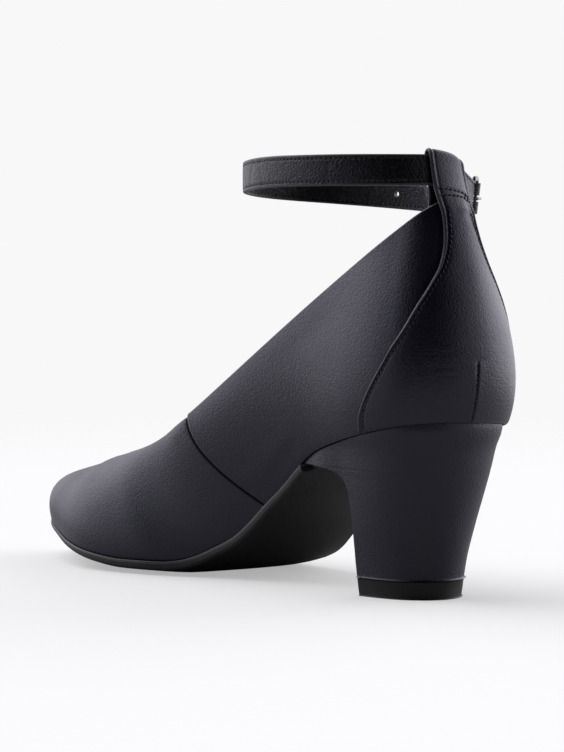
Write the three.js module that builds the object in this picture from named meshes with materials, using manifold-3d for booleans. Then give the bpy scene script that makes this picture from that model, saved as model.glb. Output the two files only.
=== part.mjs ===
// A right ankle strap pump on a covered block heel.
// +X points to the toe, +Y to the inner (medial) side, +Z up. The ground is z = 0.
import * as THREE from "three";
import { mergeVertices } from "three/addons/utils/BufferGeometryUtils.js";
import Module from "manifold-3d";

const kernel = await Module();
kernel.setup();
const { Manifold, Mesh } = kernel;

// Main sizes in millimetres. The tables below are percentages of these.
const shoe = { length: 236, ballWidth: 77, seatHeight: 63, backHeight: 141 };
const fit = { gap: 0.3 };
const wall = { thickness: 1.6, lap: 0.6 };
const sole = { thickness: 4, edgeThinning: 0.6, rim: 1.1, flatShare: 0.55, rearShare: 0.205, tuck: 2.6 };
const soleToe = { from: 0.62, to: 0.92, thinning: 2, tuck: 0.9 };
const insoleSize = { thickness: 2.5, clearance: 0.5 };
const heel = { topPieceHeight: 6.3, breastHollow: 1.2 };
const counter = { thickness: 1.2, tabHalfWidth: 7.6, tabInside: 7.4, tabDrop: 9, tabStart: -7.4, topEase: 1.1, clearance: 0.5, flare: 0.7 };
const strap = { height: 11, thickness: 2, tipSlant: 5, holeDiameter: 2.2, eyeWall: 1.3, slotHeight: 2.2 };
const loop = { centre: 59, halfLength: 47, halfWidth: 35 };
const buckle = { height: 15.6, length: 13, wire: 1.9, corner: 1.2, prong: 1.3 };

const radians = Math.PI / 180;

// Stations round the shoe from the centre back (0) by one side to the toe (1).
// foot: the feather edge on the sole; top: the topline; x in % of length, y in % of ball width.
// topZ in % of back height. rise, out and lean set how the wall leaves the sole, and drop,
// outTop and leanTop how it meets the topline, in % of back height.
const medial = [
  { u: 0, footX: -0.5, footY: 0, topX: 3.8, topY: 0, topZ: 100, rise: 15.6, out: 7, lean: 0, drop: 21, outTop: 7, leanTop: 0 },
  { u: 0.09, footX: 0.95, footY: 18.2, topX: 4.8, topY: 12.5, topZ: 97.4, rise: 15, out: 6.6, lean: 0, drop: 19, outTop: 6.8, leanTop: 0 },
  { u: 0.17, footX: 4.7, footY: 29.9, topX: 7.4, topY: 20.1, topZ: 93.1, rise: 14, out: 6, lean: 0, drop: 17, outTop: 6, leanTop: 0 },
  { u: 0.27, footX: 12.7, footY: 33.8, topX: 14, topY: 27.3, topZ: 84.6, rise: 13, out: 5, lean: 0, drop: 14, outTop: 4.3, leanTop: 0 },
  { u: 0.37, footX: 25.4, footY: 27.9, topX: 28.4, topY: 32.6, topZ: 68.4, rise: 11, out: 5, lean: 2, drop: 10, outTop: 2.2, leanTop: 0 },
  { u: 0.47, footX: 37.7, footY: 23.4, topX: 51.5, topY: 36.4, topZ: 43, rise: 6.4, out: 5, lean: 10, drop: 8, outTop: 2.8, leanTop: -2 },
  { u: 0.55, footX: 48.7, footY: 28.8, topX: 60.2, topY: 34.2, topZ: 35.5, rise: 7, out: 5, lean: 7, drop: 6, outTop: 3.6, leanTop: 0 },
  { u: 0.64, footX: 61.4, footY: 45.2, topX: 68.2, topY: 31.2, topZ: 31.5, rise: 8.5, out: 3, lean: 2, drop: 3, outTop: 6.4, leanTop: 0 },
  { u: 0.73, footX: 73.7, footY: 50, topX: 73.8, topY: 27, topZ: 29.5, rise: 10.6, out: 2.8, lean: 0, drop: 2.2, outTop: 8, leanTop: 0 },
  { u: 0.83, footX: 85.6, footY: 38, topX: 76, topY: 18.5, topZ: 28.8, rise: 12.6, out: 3.4, lean: 0, drop: 3.4, outTop: 13, leanTop: 0 },
  { u: 0.92, footX: 94, footY: 22, topX: 77.2, topY: 9.3, topZ: 28.2, rise: 12.6, out: 3.4, lean: 0, drop: 3.8, outTop: 18, leanTop: 0 },
  { u: 1, footX: 99.2, footY: 3.4, topX: 77.6, topY: 0, topZ: 28, rise: 12.4, out: 3.2, lean: 0, drop: 4, outTop: 20.6, leanTop: 0 },
];
const lateral = [
  { u: 0.09, footX: 0.95, footY: -18.8, topX: 4.8, topY: -12.5, topZ: 97.4, rise: 15, out: 6.6, lean: 0, drop: 19, outTop: 4.9, leanTop: 0 },
  { u: 0.17, footX: 4.7, footY: -31.8, topX: 7.4, topY: -20.1, topZ: 93, rise: 14, out: 6, lean: 0, drop: 17, outTop: 5.2, leanTop: 0 },
  { u: 0.27, footX: 12.7, footY: -36.4, topX: 14, topY: -28, topZ: 84, rise: 13, out: 5, lean: 0, drop: 14, outTop: 4.3, leanTop: 0 },
  { u: 0.37, footX: 25.4, footY: -37, topX: 28.4, topY: -34, topZ: 67, rise: 11, out: 3.4, lean: 2, drop: 10, outTop: 2.2, leanTop: 0 },
  { u: 0.47, footX: 38.6, footY: -38, topX: 51.5, topY: -37, topZ: 41.5, rise: 6.4, out: 3, lean: 9, drop: 7, outTop: 2.8, leanTop: -2 },
  { u: 0.55, footX: 50, footY: -42.5, topX: 60.2, topY: -34.6, topZ: 34.8, rise: 7, out: 2.8, lean: 6, drop: 5, outTop: 4, leanTop: 0 },
  { u: 0.64, footX: 61.4, footY: -47.2, topX: 67.8, topY: -30.7, topZ: 32, rise: 8.5, out: 2.4, lean: 1, drop: 3, outTop: 6.4, leanTop: 0 },
  { u: 0.73, footX: 73.7, footY: -47.2, topX: 73, topY: -25.5, topZ: 29.8, rise: 9.5, out: 2.1, lean: 0, drop: 2.5, outTop: 7.9, leanTop: 0 },
  { u: 0.83, footX: 85.6, footY: -37, topX: 75.8, topY: -17.5, topZ: 29, rise: 12, out: 2.8, lean: 0, drop: 3.2, outTop: 12.8, leanTop: 0 },
  { u: 0.92, footX: 93.8, footY: -18.5, topX: 77.2, topY: -9, topZ: 28.4, rise: 12, out: 3, lean: 0, drop: 3.7, outTop: 17.6, leanTop: 0 },
];

// The bed that the foot stands on: its height by distance from the heel, how much it leans up
// to the inner side, and how far its edges lift. x in % of length, z and lift in % of seat height.
const bed = [
  { x: -4, z: 100.2, lean: 0.04, lift: 0 },
  { x: 0, z: 98.9, lean: 0.04, lift: 0 },
  { x: 11.9, z: 90.6, lean: 0.03, lift: 0 },
  { x: 19.5, z: 84.2, lean: 0.02, lift: 0 },
  { x: 24.6, z: 77.8, lean: 0.02, lift: 0 },
  { x: 28.4, z: 68.3, lean: 0.05, lift: 0.3 },
  { x: 32.6, z: 56.2, lean: 0.07, lift: 0.6 },
  { x: 37.7, z: 42.2, lean: 0.08, lift: 1 },
  { x: 41.5, z: 29.8, lean: 0.08, lift: 1.3 },
  { x: 44.9, z: 20, lean: 0.08, lift: 1.6 },
  { x: 48.7, z: 13.2, lean: 0.06, lift: 1.8 },
  { x: 51.3, z: 9.5, lean: 0.03, lift: 1.9 },
  { x: 54, z: 7.2, lean: 0.01, lift: 1.9 },
  { x: 56.8, z: 6.35, lean: 0, lift: 1.9 },
  { x: 63.6, z: 6.35, lean: 0, lift: 1.9 },
  { x: 70, z: 8.2, lean: 0, lift: 1.9 },
  { x: 78, z: 12.7, lean: 0, lift: 1.6 },
  { x: 87.3, z: 18.9, lean: 0, lift: 1.3 },
  { x: 102, z: 24.4, lean: 0, lift: 0.8 },
];

// The heel by height: its back, the stretch of its plan along and across, and its front face.
const heelLevels = [
  { z: 0, back: 4.5, along: 1.05, across: 0.64, front: 16.5 },
  { z: 20.6, back: 4, along: 0.95, across: 0.69, front: 16.8 },
  { z: 41, back: 3, along: 0.88, across: 0.77, front: 16.7 },
  { z: 54, back: 2.15, along: 0.87, across: 0.825, front: 16.9 },
  { z: 62.5, back: 1.5, along: 0.89, across: 0.86, front: 17.4 },
  { z: 67.3, back: 1.15, along: 0.9, across: 0.88, front: 18.7 },
  { z: 70.5, back: 0.95, along: 0.91, across: 0.895, front: 20.9 },
  { z: 71.9, back: 0.85, along: 0.915, across: 0.9, front: 24.4 },
  { z: 72.6, back: 0.8, along: 0.92, across: 0.905, front: 27.2 },
  { z: 74, back: 0.7, along: 0.925, across: 0.91, front: 28.2 },
  { z: 84, back: 0.1, along: 0.96, across: 0.955, front: 28.2 },
  { z: 92, back: -0.65, along: 1.01, across: 1.01, front: 28.2 },
  { z: 97, back: -0.85, along: 1.02, across: 1.025, front: 28.2 },
  { z: 110, back: -0.85, along: 1.02, across: 1.025, front: 28.2 },
];

// The counter panel's edge: its station by share of the wall's height.
const counterEdge = [
  { v: 0, u: 0.256 },
  { v: 0.08, u: 0.252 },
  { v: 0.16, u: 0.24 },
  { v: 0.26, u: 0.216 },
  { v: 0.36, u: 0.188 },
  { v: 0.48, u: 0.155 },
  { v: 0.58, u: 0.13 },
  { v: 0.66, u: 0.104 },
  { v: 0.74, u: 0.077 },
  { v: 0.84, u: 0.06 },
  { v: 0.92, u: 0.056 },
  { v: 1, u: 0.058 },
];

// The ankle strap by angle round its loop, from the back by the inner side: its height in % of
// back height, and how far its upper edge leans into the loop.
const strapLie = [
  { angle: -60, z: 98.6, lean: -0.14 },
  { angle: -33, z: 99.6, lean: -0.12 },
  { angle: -20, z: 101.6, lean: 0.02 },
  { angle: -12, z: 103.7, lean: 0.16 },
  { angle: -5, z: 105.3, lean: 0.24 },
  { angle: 5, z: 106.2, lean: 0.27 },
  { angle: 14, z: 106.6, lean: 0.25 },
  { angle: 50, z: 106.6, lean: 0.08 },
  { angle: 90, z: 106.3, lean: 0 },
  { angle: 140, z: 104.6, lean: 0 },
  { angle: 180, z: 103, lean: 0 },
  { angle: 220, z: 101.6, lean: 0 },
  { angle: 270, z: 99.7, lean: 0 },
];
const strapEnds = { buckleEnd: -33, tip: 266, hole: 251 };

// Value of one column at a place along a table, without overshoot.
function along(table, key, column, at) {
  const n = table.length;
  const clamped = Math.min(Math.max(at, table[0][key]), table[n - 1][key]);
  let i = 0;
  while (i < n - 2 && clamped > table[i + 1][key]) i++;
  const step = (k) => table[k + 1][key] - table[k][key];
  const slope = (k) => (table[k + 1][column] - table[k][column]) / step(k);
  const tangent = (k) => {
    if (k === 0) return slope(0);
    if (k === n - 1) return slope(n - 2);
    const before = slope(k - 1);
    const after = slope(k);
    return before * after <= 0 ? 0 : (2 * before * after) / (before + after);
  };
  const h = step(i);
  const s = (clamped - table[i][key]) / h;
  const a = table[i][column];
  const b = table[i + 1][column];
  const hermite = [2 * s ** 3 - 3 * s ** 2 + 1, s ** 3 - 2 * s ** 2 + s, -2 * s ** 3 + 3 * s ** 2, s ** 3 - s ** 2];
  return hermite[0] * a + hermite[1] * h * tangent(i) + hermite[2] * b + hermite[3] * h * tangent(i + 1);
}

// One closed ring of stations: 0 to 1 by the inner side, 1 to 2 back by the outer side.
const ring = [
  ...medial,
  ...lateral.toReversed().map((row) => ({ ...row, u: 2 - row.u })),
];

function station(u) {
  const at = ((u % 2) + 2) % 2;
  const n = ring.length;
  let i = 0;
  while (i < n - 1 && at >= ring[i + 1].u) i++;
  const row = (k) => ({ ...ring[((k % n) + n) % n], at: ring[((k % n) + n) % n].u + 2 * Math.floor(k / n) });
  const rows = [row(i - 1), row(i), row(i + 1), row(i + 2)];
  const h = rows[2].at - rows[1].at;
  const s = (at - rows[1].at) / h;
  const value = (column) => {
    const tangent = (k) => (rows[k + 1][column] - rows[k - 1][column]) / (rows[k + 1].at - rows[k - 1].at);
    const p = rows[1][column];
    const q = rows[2][column];
    return (
      (2 * s ** 3 - 3 * s ** 2 + 1) * p +
      (s ** 3 - 2 * s ** 2 + s) * h * tangent(1) +
      (-2 * s ** 3 + 3 * s ** 2) * q +
      (s ** 3 - s ** 2) * h * tangent(2)
    );
  };
  const columns = ["footX", "footY", "topX", "topY", "topZ", "rise", "out", "lean", "drop", "outTop", "leanTop"];
  return Object.fromEntries(columns.map((c) => [c, value(c)]));
}

const lengthShare = (percent) => (percent / 100) * shoe.length;
const widthShare = (percent) => (percent / 100) * shoe.ballWidth;
const backShare = (percent) => (percent / 100) * shoe.backHeight;
const seatShare = (percent) => (percent / 100) * shoe.seatHeight;

// Height of the foot bed. side runs from -1 at the outer edge to 1 at the inner edge.
function bedHeight(x, y, side) {
  const at = (100 * x) / shoe.length;
  const lift = Math.max(0, (Math.abs(side) - sole.flatShare) / (1 - sole.flatShare)) ** 2;
  return seatShare(along(bed, "x", "z", at) + along(bed, "x", "lift", at) * lift) + along(bed, "x", "lean", at) * y;
}

function footPlan(u) {
  const s = station(u);
  return new THREE.Vector2(lengthShare(s.footX), widthShare(s.footY));
}

function topPlan(u) {
  const s = station(u);
  return new THREE.Vector2(lengthShare(s.topX), widthShare(s.topY));
}

// Outward direction of a closed plan curve that runs from the back by the inner side.
function outward(plan, u) {
  const step = plan(u + 0.004).sub(plan(u - 0.004)).normalize();
  return new THREE.Vector2(-step.y, step.x);
}

// The feather edge moved outwards by a distance in plan.
function footEdge(u, offset) {
  return footPlan(u).addScaledVector(outward(footPlan, u), offset);
}

// The last's surface: u round the shoe, v from the feather edge (0) to the topline (1).
function lastPoint(u, v) {
  const s = station(u);
  const foot = footPlan(u);
  const top = topPlan(u);
  const footOut = outward(footPlan, u);
  const topOut = outward(topPlan, u);
  const base = bedHeight(foot.x, foot.y, 1) + fit.gap;
  const topZ = backShare(s.topZ);
  const points = [
    new THREE.Vector3(foot.x, foot.y, base),
    new THREE.Vector3(
      foot.x + footOut.x * backShare(s.out) + backShare(s.lean),
      foot.y + footOut.y * backShare(s.out),
      base + backShare(s.rise),
    ),
    new THREE.Vector3(
      top.x + topOut.x * backShare(s.outTop) + backShare(s.leanTop),
      top.y + topOut.y * backShare(s.outTop),
      topZ - backShare(s.drop),
    ),
    new THREE.Vector3(top.x, top.y, topZ),
  ];
  const w = 1 - v;
  return new THREE.Vector3()
    .addScaledVector(points[0], w ** 3)
    .addScaledVector(points[1], 3 * w * w * v)
    .addScaledVector(points[2], 3 * w * v * v)
    .addScaledVector(points[3], v ** 3);
}

function lastNormal(u, v) {
  if (v <= 0) {
    const flat = outward(footPlan, u);
    return new THREE.Vector3(flat.x, flat.y, 0);
  }
  const du = lastPoint(u + 0.003, v).sub(lastPoint(u - 0.003, v));
  const lower = Math.max(0, v - 0.01);
  const upper = Math.min(1, v + 0.01);
  const dv = lastPoint(u, upper).sub(lastPoint(u, lower));
  return dv.cross(du).normalize();
}

// The wall's outside stands this far off the last: the quarters lap over the vamp.
const seamStation = 0.47;
function lapOffset(u) {
  const at = ((u % 2) + 2) % 2;
  const fromBack = Math.min(at, 2 - at);
  return fromBack < seamStation ? wall.lap : 0;
}

function wallPoint(u, v, offset) {
  return lastPoint(u, v).addScaledVector(lastNormal(u, v), offset);
}

// A geometry from a list of corners and faces, its faces turned out and its equal corners merged.
function solidGeometry(corners, faces) {
  let geometry = new THREE.BufferGeometry();
  geometry.setAttribute("position", new THREE.Float32BufferAttribute(corners.flatMap((p) => [p.x, p.y, p.z]), 3));
  geometry.setIndex(faces.flat());
  geometry = mergeVertices(geometry, 1e-3);
  const index = geometry.index.array;
  const kept = [];
  for (let i = 0; i < index.length; i += 3) {
    const [a, b, c] = [index[i], index[i + 1], index[i + 2]];
    if (a !== b && b !== c && a !== c) kept.push(a, b, c);
  }
  geometry.setIndex(kept);
  return geometry;
}

// A closed skin between two grids of points with the same rows and columns.
function skin(outer, inner, closedColumns = false) {
  const rows = outer.length;
  const columns = outer[0].length;
  const corners = [...outer.flat(), ...inner.flat()];
  const far = rows * columns;
  const id = (r, c) => r * columns + (c % columns);
  const faces = [];
  const quad = (a, b, c, d) => faces.push([a, b, c], [a, c, d]);
  const last = closedColumns ? columns : columns - 1;
  for (let r = 0; r < rows - 1; r++) {
    for (let c = 0; c < last; c++) {
      quad(id(r, c), id(r, c + 1), id(r + 1, c + 1), id(r + 1, c));
      quad(far + id(r, c), far + id(r + 1, c), far + id(r + 1, c + 1), far + id(r, c + 1));
    }
  }
  for (let c = 0; c < last; c++) {
    quad(id(0, c), far + id(0, c), far + id(0, c + 1), id(0, c + 1));
    quad(id(rows - 1, c), id(rows - 1, c + 1), far + id(rows - 1, c + 1), far + id(rows - 1, c));
  }
  if (!closedColumns) {
    for (let r = 0; r < rows - 1; r++) {
      quad(id(r, 0), id(r + 1, 0), far + id(r + 1, 0), far + id(r, 0));
      quad(id(r, last), far + id(r, last), far + id(r + 1, last), id(r + 1, last));
    }
  }
  return solidGeometry(corners, faces);
}

function toManifold(geometry) {
  const bare = geometry.clone();
  bare.deleteAttribute("normal");
  bare.deleteAttribute("uv");
  const merged = mergeVertices(bare, 1e-4);
  return new Manifold(
    new Mesh({ numProp: 3, vertProperties: merged.attributes.position.array, triVerts: new Uint32Array(merged.index.array) }),
  );
}

// Turned the right way out whichever way its grid ran.
function facingOut(geometry) {
  const made = toManifold(geometry);
  if (made.volume() > 0) return made;
  const index = geometry.index.array;
  const turned = geometry.clone();
  const flipped = [];
  for (let i = 0; i < index.length; i += 3) flipped.push(index[i], index[i + 2], index[i + 1]);
  turned.setIndex(flipped);
  return toManifold(turned);
}

function toGeometry(solid) {
  const mesh = solid.getMesh();
  const geometry = new THREE.BufferGeometry();
  const positions = new Float32Array(mesh.numVert * 3);
  for (let i = 0; i < mesh.numVert; i++) {
    positions.set(mesh.vertProperties.subarray(i * mesh.numProp, i * mesh.numProp + 3), 3 * i);
  }
  geometry.setAttribute("position", new THREE.BufferAttribute(positions, 3));
  geometry.setIndex(Array.from(mesh.triVerts));
  return geometry;
}

const range = (count, from, to) => Array.from({ length: count + 1 }, (_, i) => from + ((to - from) * i) / count);

// The upper: one wall, open at the collar and under the foot.
function buildUpper() {
  const nearSeam = 0.0012;
  const backStations = range(10, 0, 0.25);
  const sideStations = bedPlaces.slice(6).map((percent) => stationAt(lengthShare(percent)));
  const half = [
    ...backStations,
    ...sideStations.filter((u) => u > 0.27 && u < seamStation - 0.007),
    seamStation - nearSeam,
    seamStation + nearSeam,
    ...sideStations.filter((u) => u > seamStation + 0.007 && u < 0.99),
    1,
  ];
  const columns = [...half, ...half.slice(1, -1).toReversed().map((u) => 2 - u)];
  const rise = [0, 0.05, 0.13, 0.23, 0.34, 0.45, 0.56, 0.67, 0.78, 0.88, 0.95, 1];
  const outer = rise.map((v) => columns.map((u) => wallPoint(u, v, lapOffset(u))));
  const inner = rise.map((v) => columns.map((u) => {
    const p = wallPoint(u, v, -wall.thickness);
    if (v <= 0) p.z = bedHeight(p.x, p.y, 1) + fit.gap;
    return p;
  }));
  return facingOut(skin(outer, inner, true));
}

// Points of a plate that lies along the foot bed between the two sides' edges, this far off it.
function bedGrid(stations, sides, offset, rise) {
  return stations.map((u) => {
    const inside = footEdge(u, offset(u));
    const outside = footEdge(2 - u, offset(u));
    return sides.map((side) => {
      const plan = outside.clone().lerp(inside, (side + 1) / 2);
      const at = (x) => bedHeight(x, plan.y, side);
      const slope = at(plan.x + 0.5) - at(plan.x - 0.5);
      const up = new THREE.Vector3(-slope, 0, 1).normalize();
      return new THREE.Vector3(plan.x, plan.y, at(plan.x)).addScaledVector(up, rise(side, plan.x));
    });
  });
}

function plate(stations, sides, offset, upperRise, lowerRise) {
  return facingOut(skin(bedGrid(stations, sides, offset, upperRise), bedGrid(stations, sides, offset, lowerRise)));
}

// Places along the foot bed, in % of length, closest where it bends most. All that lies on the bed
// is cut at the same places, so its pieces stay evenly apart.
const toeEnd = 98.6;
const bedPlaces = [
  ...range(7, 0.3, 19.5),
  ...range(18, 19.5, 53.6).slice(1),
  ...range(11, 53.6, 91).slice(1),
  ...range(4, 0, 1).slice(1).map((t) => 91 + (toeEnd - 91) * Math.sin((t * Math.PI) / 2)),
];

const edgeRound = (side) => Math.max(0, (Math.abs(side) - sole.flatShare) / (1 - sole.flatShare)) ** 2;

// Station on the inner side whose feather edge lies at a distance from the heel.
function stationAt(x) {
  let low = 0;
  let high = 1;
  for (let i = 0; i < 40; i++) {
    const middle = (low + high) / 2;
    if (footPlan(middle).x < x) low = middle;
    else high = middle;
  }
  return (low + high) / 2;
}

const wingEnd = lengthShare(27.4);

// How far the sole has changed to its thinner, narrower toe, 0 to 1.
function toeShare(x) {
  return THREE.MathUtils.smoothstep(x, soleToe.from * shoe.length, soleToe.to * shoe.length);
}

// Under the heel's wings the sole is narrower, and its edge is covered.
function soleOffset(u, extra) {
  const x = footPlan(u).x;
  const step = THREE.MathUtils.smoothstep(x, wingEnd - 0.4, wingEnd + 0.8);
  return -sole.tuck + (sole.rim + sole.tuck) * step - soleToe.tuck * toeShare(x) + extra;
}

function buildOutsole(extra = 0) {
  const rear = sole.rearShare * shoe.length - extra;
  const places = bedPlaces.map(lengthShare);
  const before = places.filter((x) => x > rear + 1 && x < wingEnd - 1.4);
  const after = places.filter((x) => x > wingEnd + 1.6);
  const stations = [rear, ...before, wingEnd - 0.6, wingEnd + 1, ...after].map(stationAt);
  const sides = [-1, -0.85, -0.7, -0.55, 0, 0.55, 0.7, 0.85, 1];
  const under = (side, x) => sole.edgeThinning * edgeRound(side) + soleToe.thinning * toeShare(x) - sole.thickness - extra;
  return plate(stations, sides, (u) => soleOffset(u, extra), () => extra, under);
}

function buildInsole() {
  const inset = -(wall.thickness + insoleSize.clearance);
  const stations = bedPlaces.map((percent) => stationAt(lengthShare(percent)));
  const sides = [-1, -0.775, -0.55, 0, 0.55, 0.775, 1];
  return plate(stations, sides, () => inset, () => fit.gap + insoleSize.thickness, () => fit.gap);
}

// One level of the heel: its plan is the feather edge's back part, drawn in and cut at the front.
function heelRing(z) {
  const at = (100 * z) / shoe.seatHeight;
  const value = (column) => along(heelLevels, "z", column, at);
  const back = lengthShare(value("back"));
  const front = lengthShare(value("front"));
  const seatBack = footPlan(0).x;
  const straight = lengthShare(16);
  const shares = [...range(10, 0, 1).map((t) => t * t * (1.6 - 0.6 * t)), ...range(3, 1, 2).slice(1)];
  const count = shares.length - 1;
  const side = (hand) => shares.map((t) => {
    const x = t <= 1 ? back + (straight - back) * t : straight + (front - straight) * (t - 1);
    const u = stationAt(Math.min(seatBack + (x - back) / value("along"), lengthShare(30)));
    const drawnIn = value("across");
    const wing = THREE.MathUtils.smoothstep(x, lengthShare(17.5), lengthShare(24));
    const across = drawnIn + (1 - drawnIn) * wing;
    const y = footPlan(hand > 0 ? u : 2 - u).y * across * (t === 0 ? 0 : 1);
    return new THREE.Vector3(x, y, z);
  });
  const inside = side(1);
  const outside = side(-1);
  const hollow = range(4, 0, 1).slice(1, -1).map((t) => {
    const p = inside[count].clone().lerp(outside[count], t);
    p.x -= heel.breastHollow * Math.sin(Math.PI * t);
    return p;
  });
  return [...inside, ...hollow, ...outside.slice(1).toReversed()];
}

// A solid lofted through level rings, closed by flat ends.
function loft(rings) {
  const count = rings[0].length;
  const corners = rings.flat();
  const faces = [];
  for (let r = 0; r < rings.length - 1; r++) {
    for (let c = 0; c < count; c++) {
      const d = (c + 1) % count;
      faces.push([r * count + c, r * count + d, (r + 1) * count + d]);
      faces.push([r * count + c, (r + 1) * count + d, (r + 1) * count + c]);
    }
  }
  for (const r of [0, rings.length - 1]) {
    const outline = rings[r].map((p) => new THREE.Vector2(p.x, p.y));
    const turn = THREE.ShapeUtils.area(outline);
    for (const [a, b, c] of THREE.ShapeUtils.triangulateShape(outline, [])) {
      const same = THREE.ShapeUtils.area([outline[a], outline[b], outline[c]]) * turn > 0;
      const corner = same === (r > 0) ? [a, b, c] : [c, b, a];
      faces.push(corner.map((k) => k + r * count));
    }
  }
  const geometry = solidGeometry(corners, faces);
  return facingOut(geometry);
}

// Everything above the foot bed near the heel.
function bedLid(height) {
  const xs = [lengthShare(-6), lengthShare(-2), ...bedPlaces.filter((percent) => percent < 38).map(lengthShare)];
  const ys = range(2, -widthShare(52), widthShare(52));
  const lower = xs.map((x) => ys.map((y) => new THREE.Vector3(x, y, bedHeight(x, y, 0) + height)));
  const upper = xs.map((x) => ys.map((y) => new THREE.Vector3(x, y, seatShare(175))));
  return facingOut(skin(upper, lower));
}

function buildHeel() {
  const levels = [22.2, 36.5, 49.2, 57.9, 62.9, 65.9, 68.2, 70.2, 71.4, 72.2, 73.7, 79.4, 88.9, 96.8, 109.5];
  const heights = [heel.topPieceHeight + fit.gap, ...levels.map(seatShare)];
  return loft(heights.map(heelRing)).subtract(bedLid(0)).subtract(buildOutsole(fit.gap));
}

function buildTopPiece() {
  return loft([0, heel.topPieceHeight / 2, heel.topPieceHeight].map(heelRing));
}

// The ankle strap's middle at an angle round its loop, with its directions: tangent along it, up
// across its height, and across through its thickness into the loop.
function strapFrame(angle) {
  const a = angle * radians;
  const centre = new THREE.Vector3(
    loop.centre - loop.halfLength * Math.cos(a),
    loop.halfWidth * Math.sin(a),
    backShare(along(strapLie, "angle", "z", angle)),
  );
  const tangent = new THREE.Vector3(loop.halfLength * Math.sin(a), loop.halfWidth * Math.cos(a), 0).normalize();
  const inward = new THREE.Vector3(tangent.y, -tangent.x, 0);
  const lean = along(strapLie, "angle", "lean", angle);
  const up = new THREE.Vector3(0, 0, 1).addScaledVector(inward, lean).normalize();
  const across = new THREE.Vector3().crossVectors(tangent, up).normalize();
  return { centre, tangent, up, across };
}

function strapPoint(angle, high, deep) {
  const f = strapFrame(angle);
  return f.centre.addScaledVector(f.up, high).addScaledVector(f.across, deep);
}

// The same at a distance to the inner side of the back, where the counter's tab holds the strap.
function tabPoint(y, high, deep) {
  return strapPoint(Math.asin(y / loop.halfWidth) / radians, high, deep);
}

// The counter: a panel laid over the quarters that goes up as a tab, folds over the strap and
// comes down inside.
function buildCounter() {
  const across = range(20, -1, 1);
  const stand = (v) => wall.lap + counter.clearance + counter.topEase * v ** 8;
  const slack = fit.gap + strap.thickness / 2;
  const foldAt = strap.height / 2 - 0.2;
  const counterRows = [0, 0.05, 0.13, 0.23, 0.34, 0.45, 0.56, 0.67, 0.78, 0.88, 0.95];
  const sheet = (depth) => {
    const panel = counterRows.map((v) => {
      const edge = along(counterEdge, "v", "u", v);
      return across.map((c) => wallPoint(c * edge, v, stand(v) + depth));
    });
    const tab = (high, deep) => across.map((c) => tabPoint(c * counter.tabHalfWidth, high, deep));
    const r = slack + depth;
    const hem = (fall) => tab(-counter.tabInside, r).map((p) => p.setZ(p.z - fall));
    return [
      ...panel,
      ...range(3, 0, 1).map((t) => tab(counter.tabStart + (foldAt - counter.tabStart) * t, -r - counter.flare * (1 - t) ** 2)),
      ...range(5, 0, 180).slice(1).map((a) => tab(foldAt + r * Math.sin(a * radians), -r * Math.cos(a * radians))),
      ...range(2, foldAt, -counter.tabInside).slice(1).map((high) => tab(high, r)),
      ...range(2, 0, counter.tabDrop).slice(1).map(hem),
    ];
  };
  return facingOut(skin(sheet(counter.thickness), sheet(0)));
}

// A geometry set in the strap's own directions: x along it, y up it, z through it.
function placed(geometry, angle, shift = [0, 0, 0]) {
  const f = strapFrame(angle);
  const matrix = new THREE.Matrix4().makeBasis(f.tangent, f.up, f.across).setPosition(f.centre);
  return geometry.translate(...shift).applyMatrix4(matrix);
}

function tube(radius, height, sides) {
  return new THREE.CylinderGeometry(radius, radius, height, sides);
}

function buildStrap() {
  const half = { high: strap.height / 2, deep: strap.thickness / 2 };
  const angles = range(68, strapEnds.buckleEnd, strapEnds.tip + 8);
  const face = (deep) => angles.map((angle) => range(2, -half.high, half.high).map((high) => strapPoint(angle, high, deep)));
  const strip = facingOut(skin(face(half.deep), face(-half.deep)));
  const bore = buckle.wire / 2 + fit.gap;
  const eye = facingOut(placed(tube(bore + strap.eyeWall, strap.height, 20), strapEnds.buckleEnd));
  const bar = facingOut(placed(tube(bore, 3 * strap.height, 20), strapEnds.buckleEnd));
  const reach = 2 * (bore + strap.eyeWall) + 1;
  const slot = facingOut(placed(new THREE.BoxGeometry(reach, strap.slotHeight, reach), strapEnds.buckleEnd));
  const hole = facingOut(placed(tube(strap.holeDiameter / 2, 12, 14).rotateX(Math.PI / 2), strapEnds.hole));
  const slant = Math.atan2(strap.tipSlant, strap.height);
  const cut = facingOut(
    placed(new THREE.BoxGeometry(20, 40, 12).translate(10, 0, 0).rotateZ(slant), strapEnds.tip, [strap.tipSlant / 2, 0, 0]),
  );
  return strip.add(eye).subtract(bar).subtract(slot).subtract(hole).subtract(cut);
}

// A round wire along a closed path that lies flat in x and y.
function closedWire(path, radius, sides) {
  const n = path.length;
  const corners = path.flatMap((p, i) => {
    const way = path[(i + 1) % n].clone().sub(path[(i + n - 1) % n]).normalize();
    return range(sides, 0, 2 * Math.PI).slice(0, -1).map((a) => {
      const out = radius * Math.cos(a);
      return new THREE.Vector3(p.x + way.y * out, p.y - way.x * out, radius * Math.sin(a));
    });
  });
  const faces = [];
  for (let i = 0; i < n; i++) {
    for (let j = 0; j < sides; j++) {
      const a = i * sides + j;
      const b = i * sides + ((j + 1) % sides);
      const c = ((i + 1) % n) * sides + ((j + 1) % sides);
      const d = ((i + 1) % n) * sides + j;
      faces.push([a, b, c], [a, c, d]);
    }
  }
  return solidGeometry(corners, faces);
}

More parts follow.
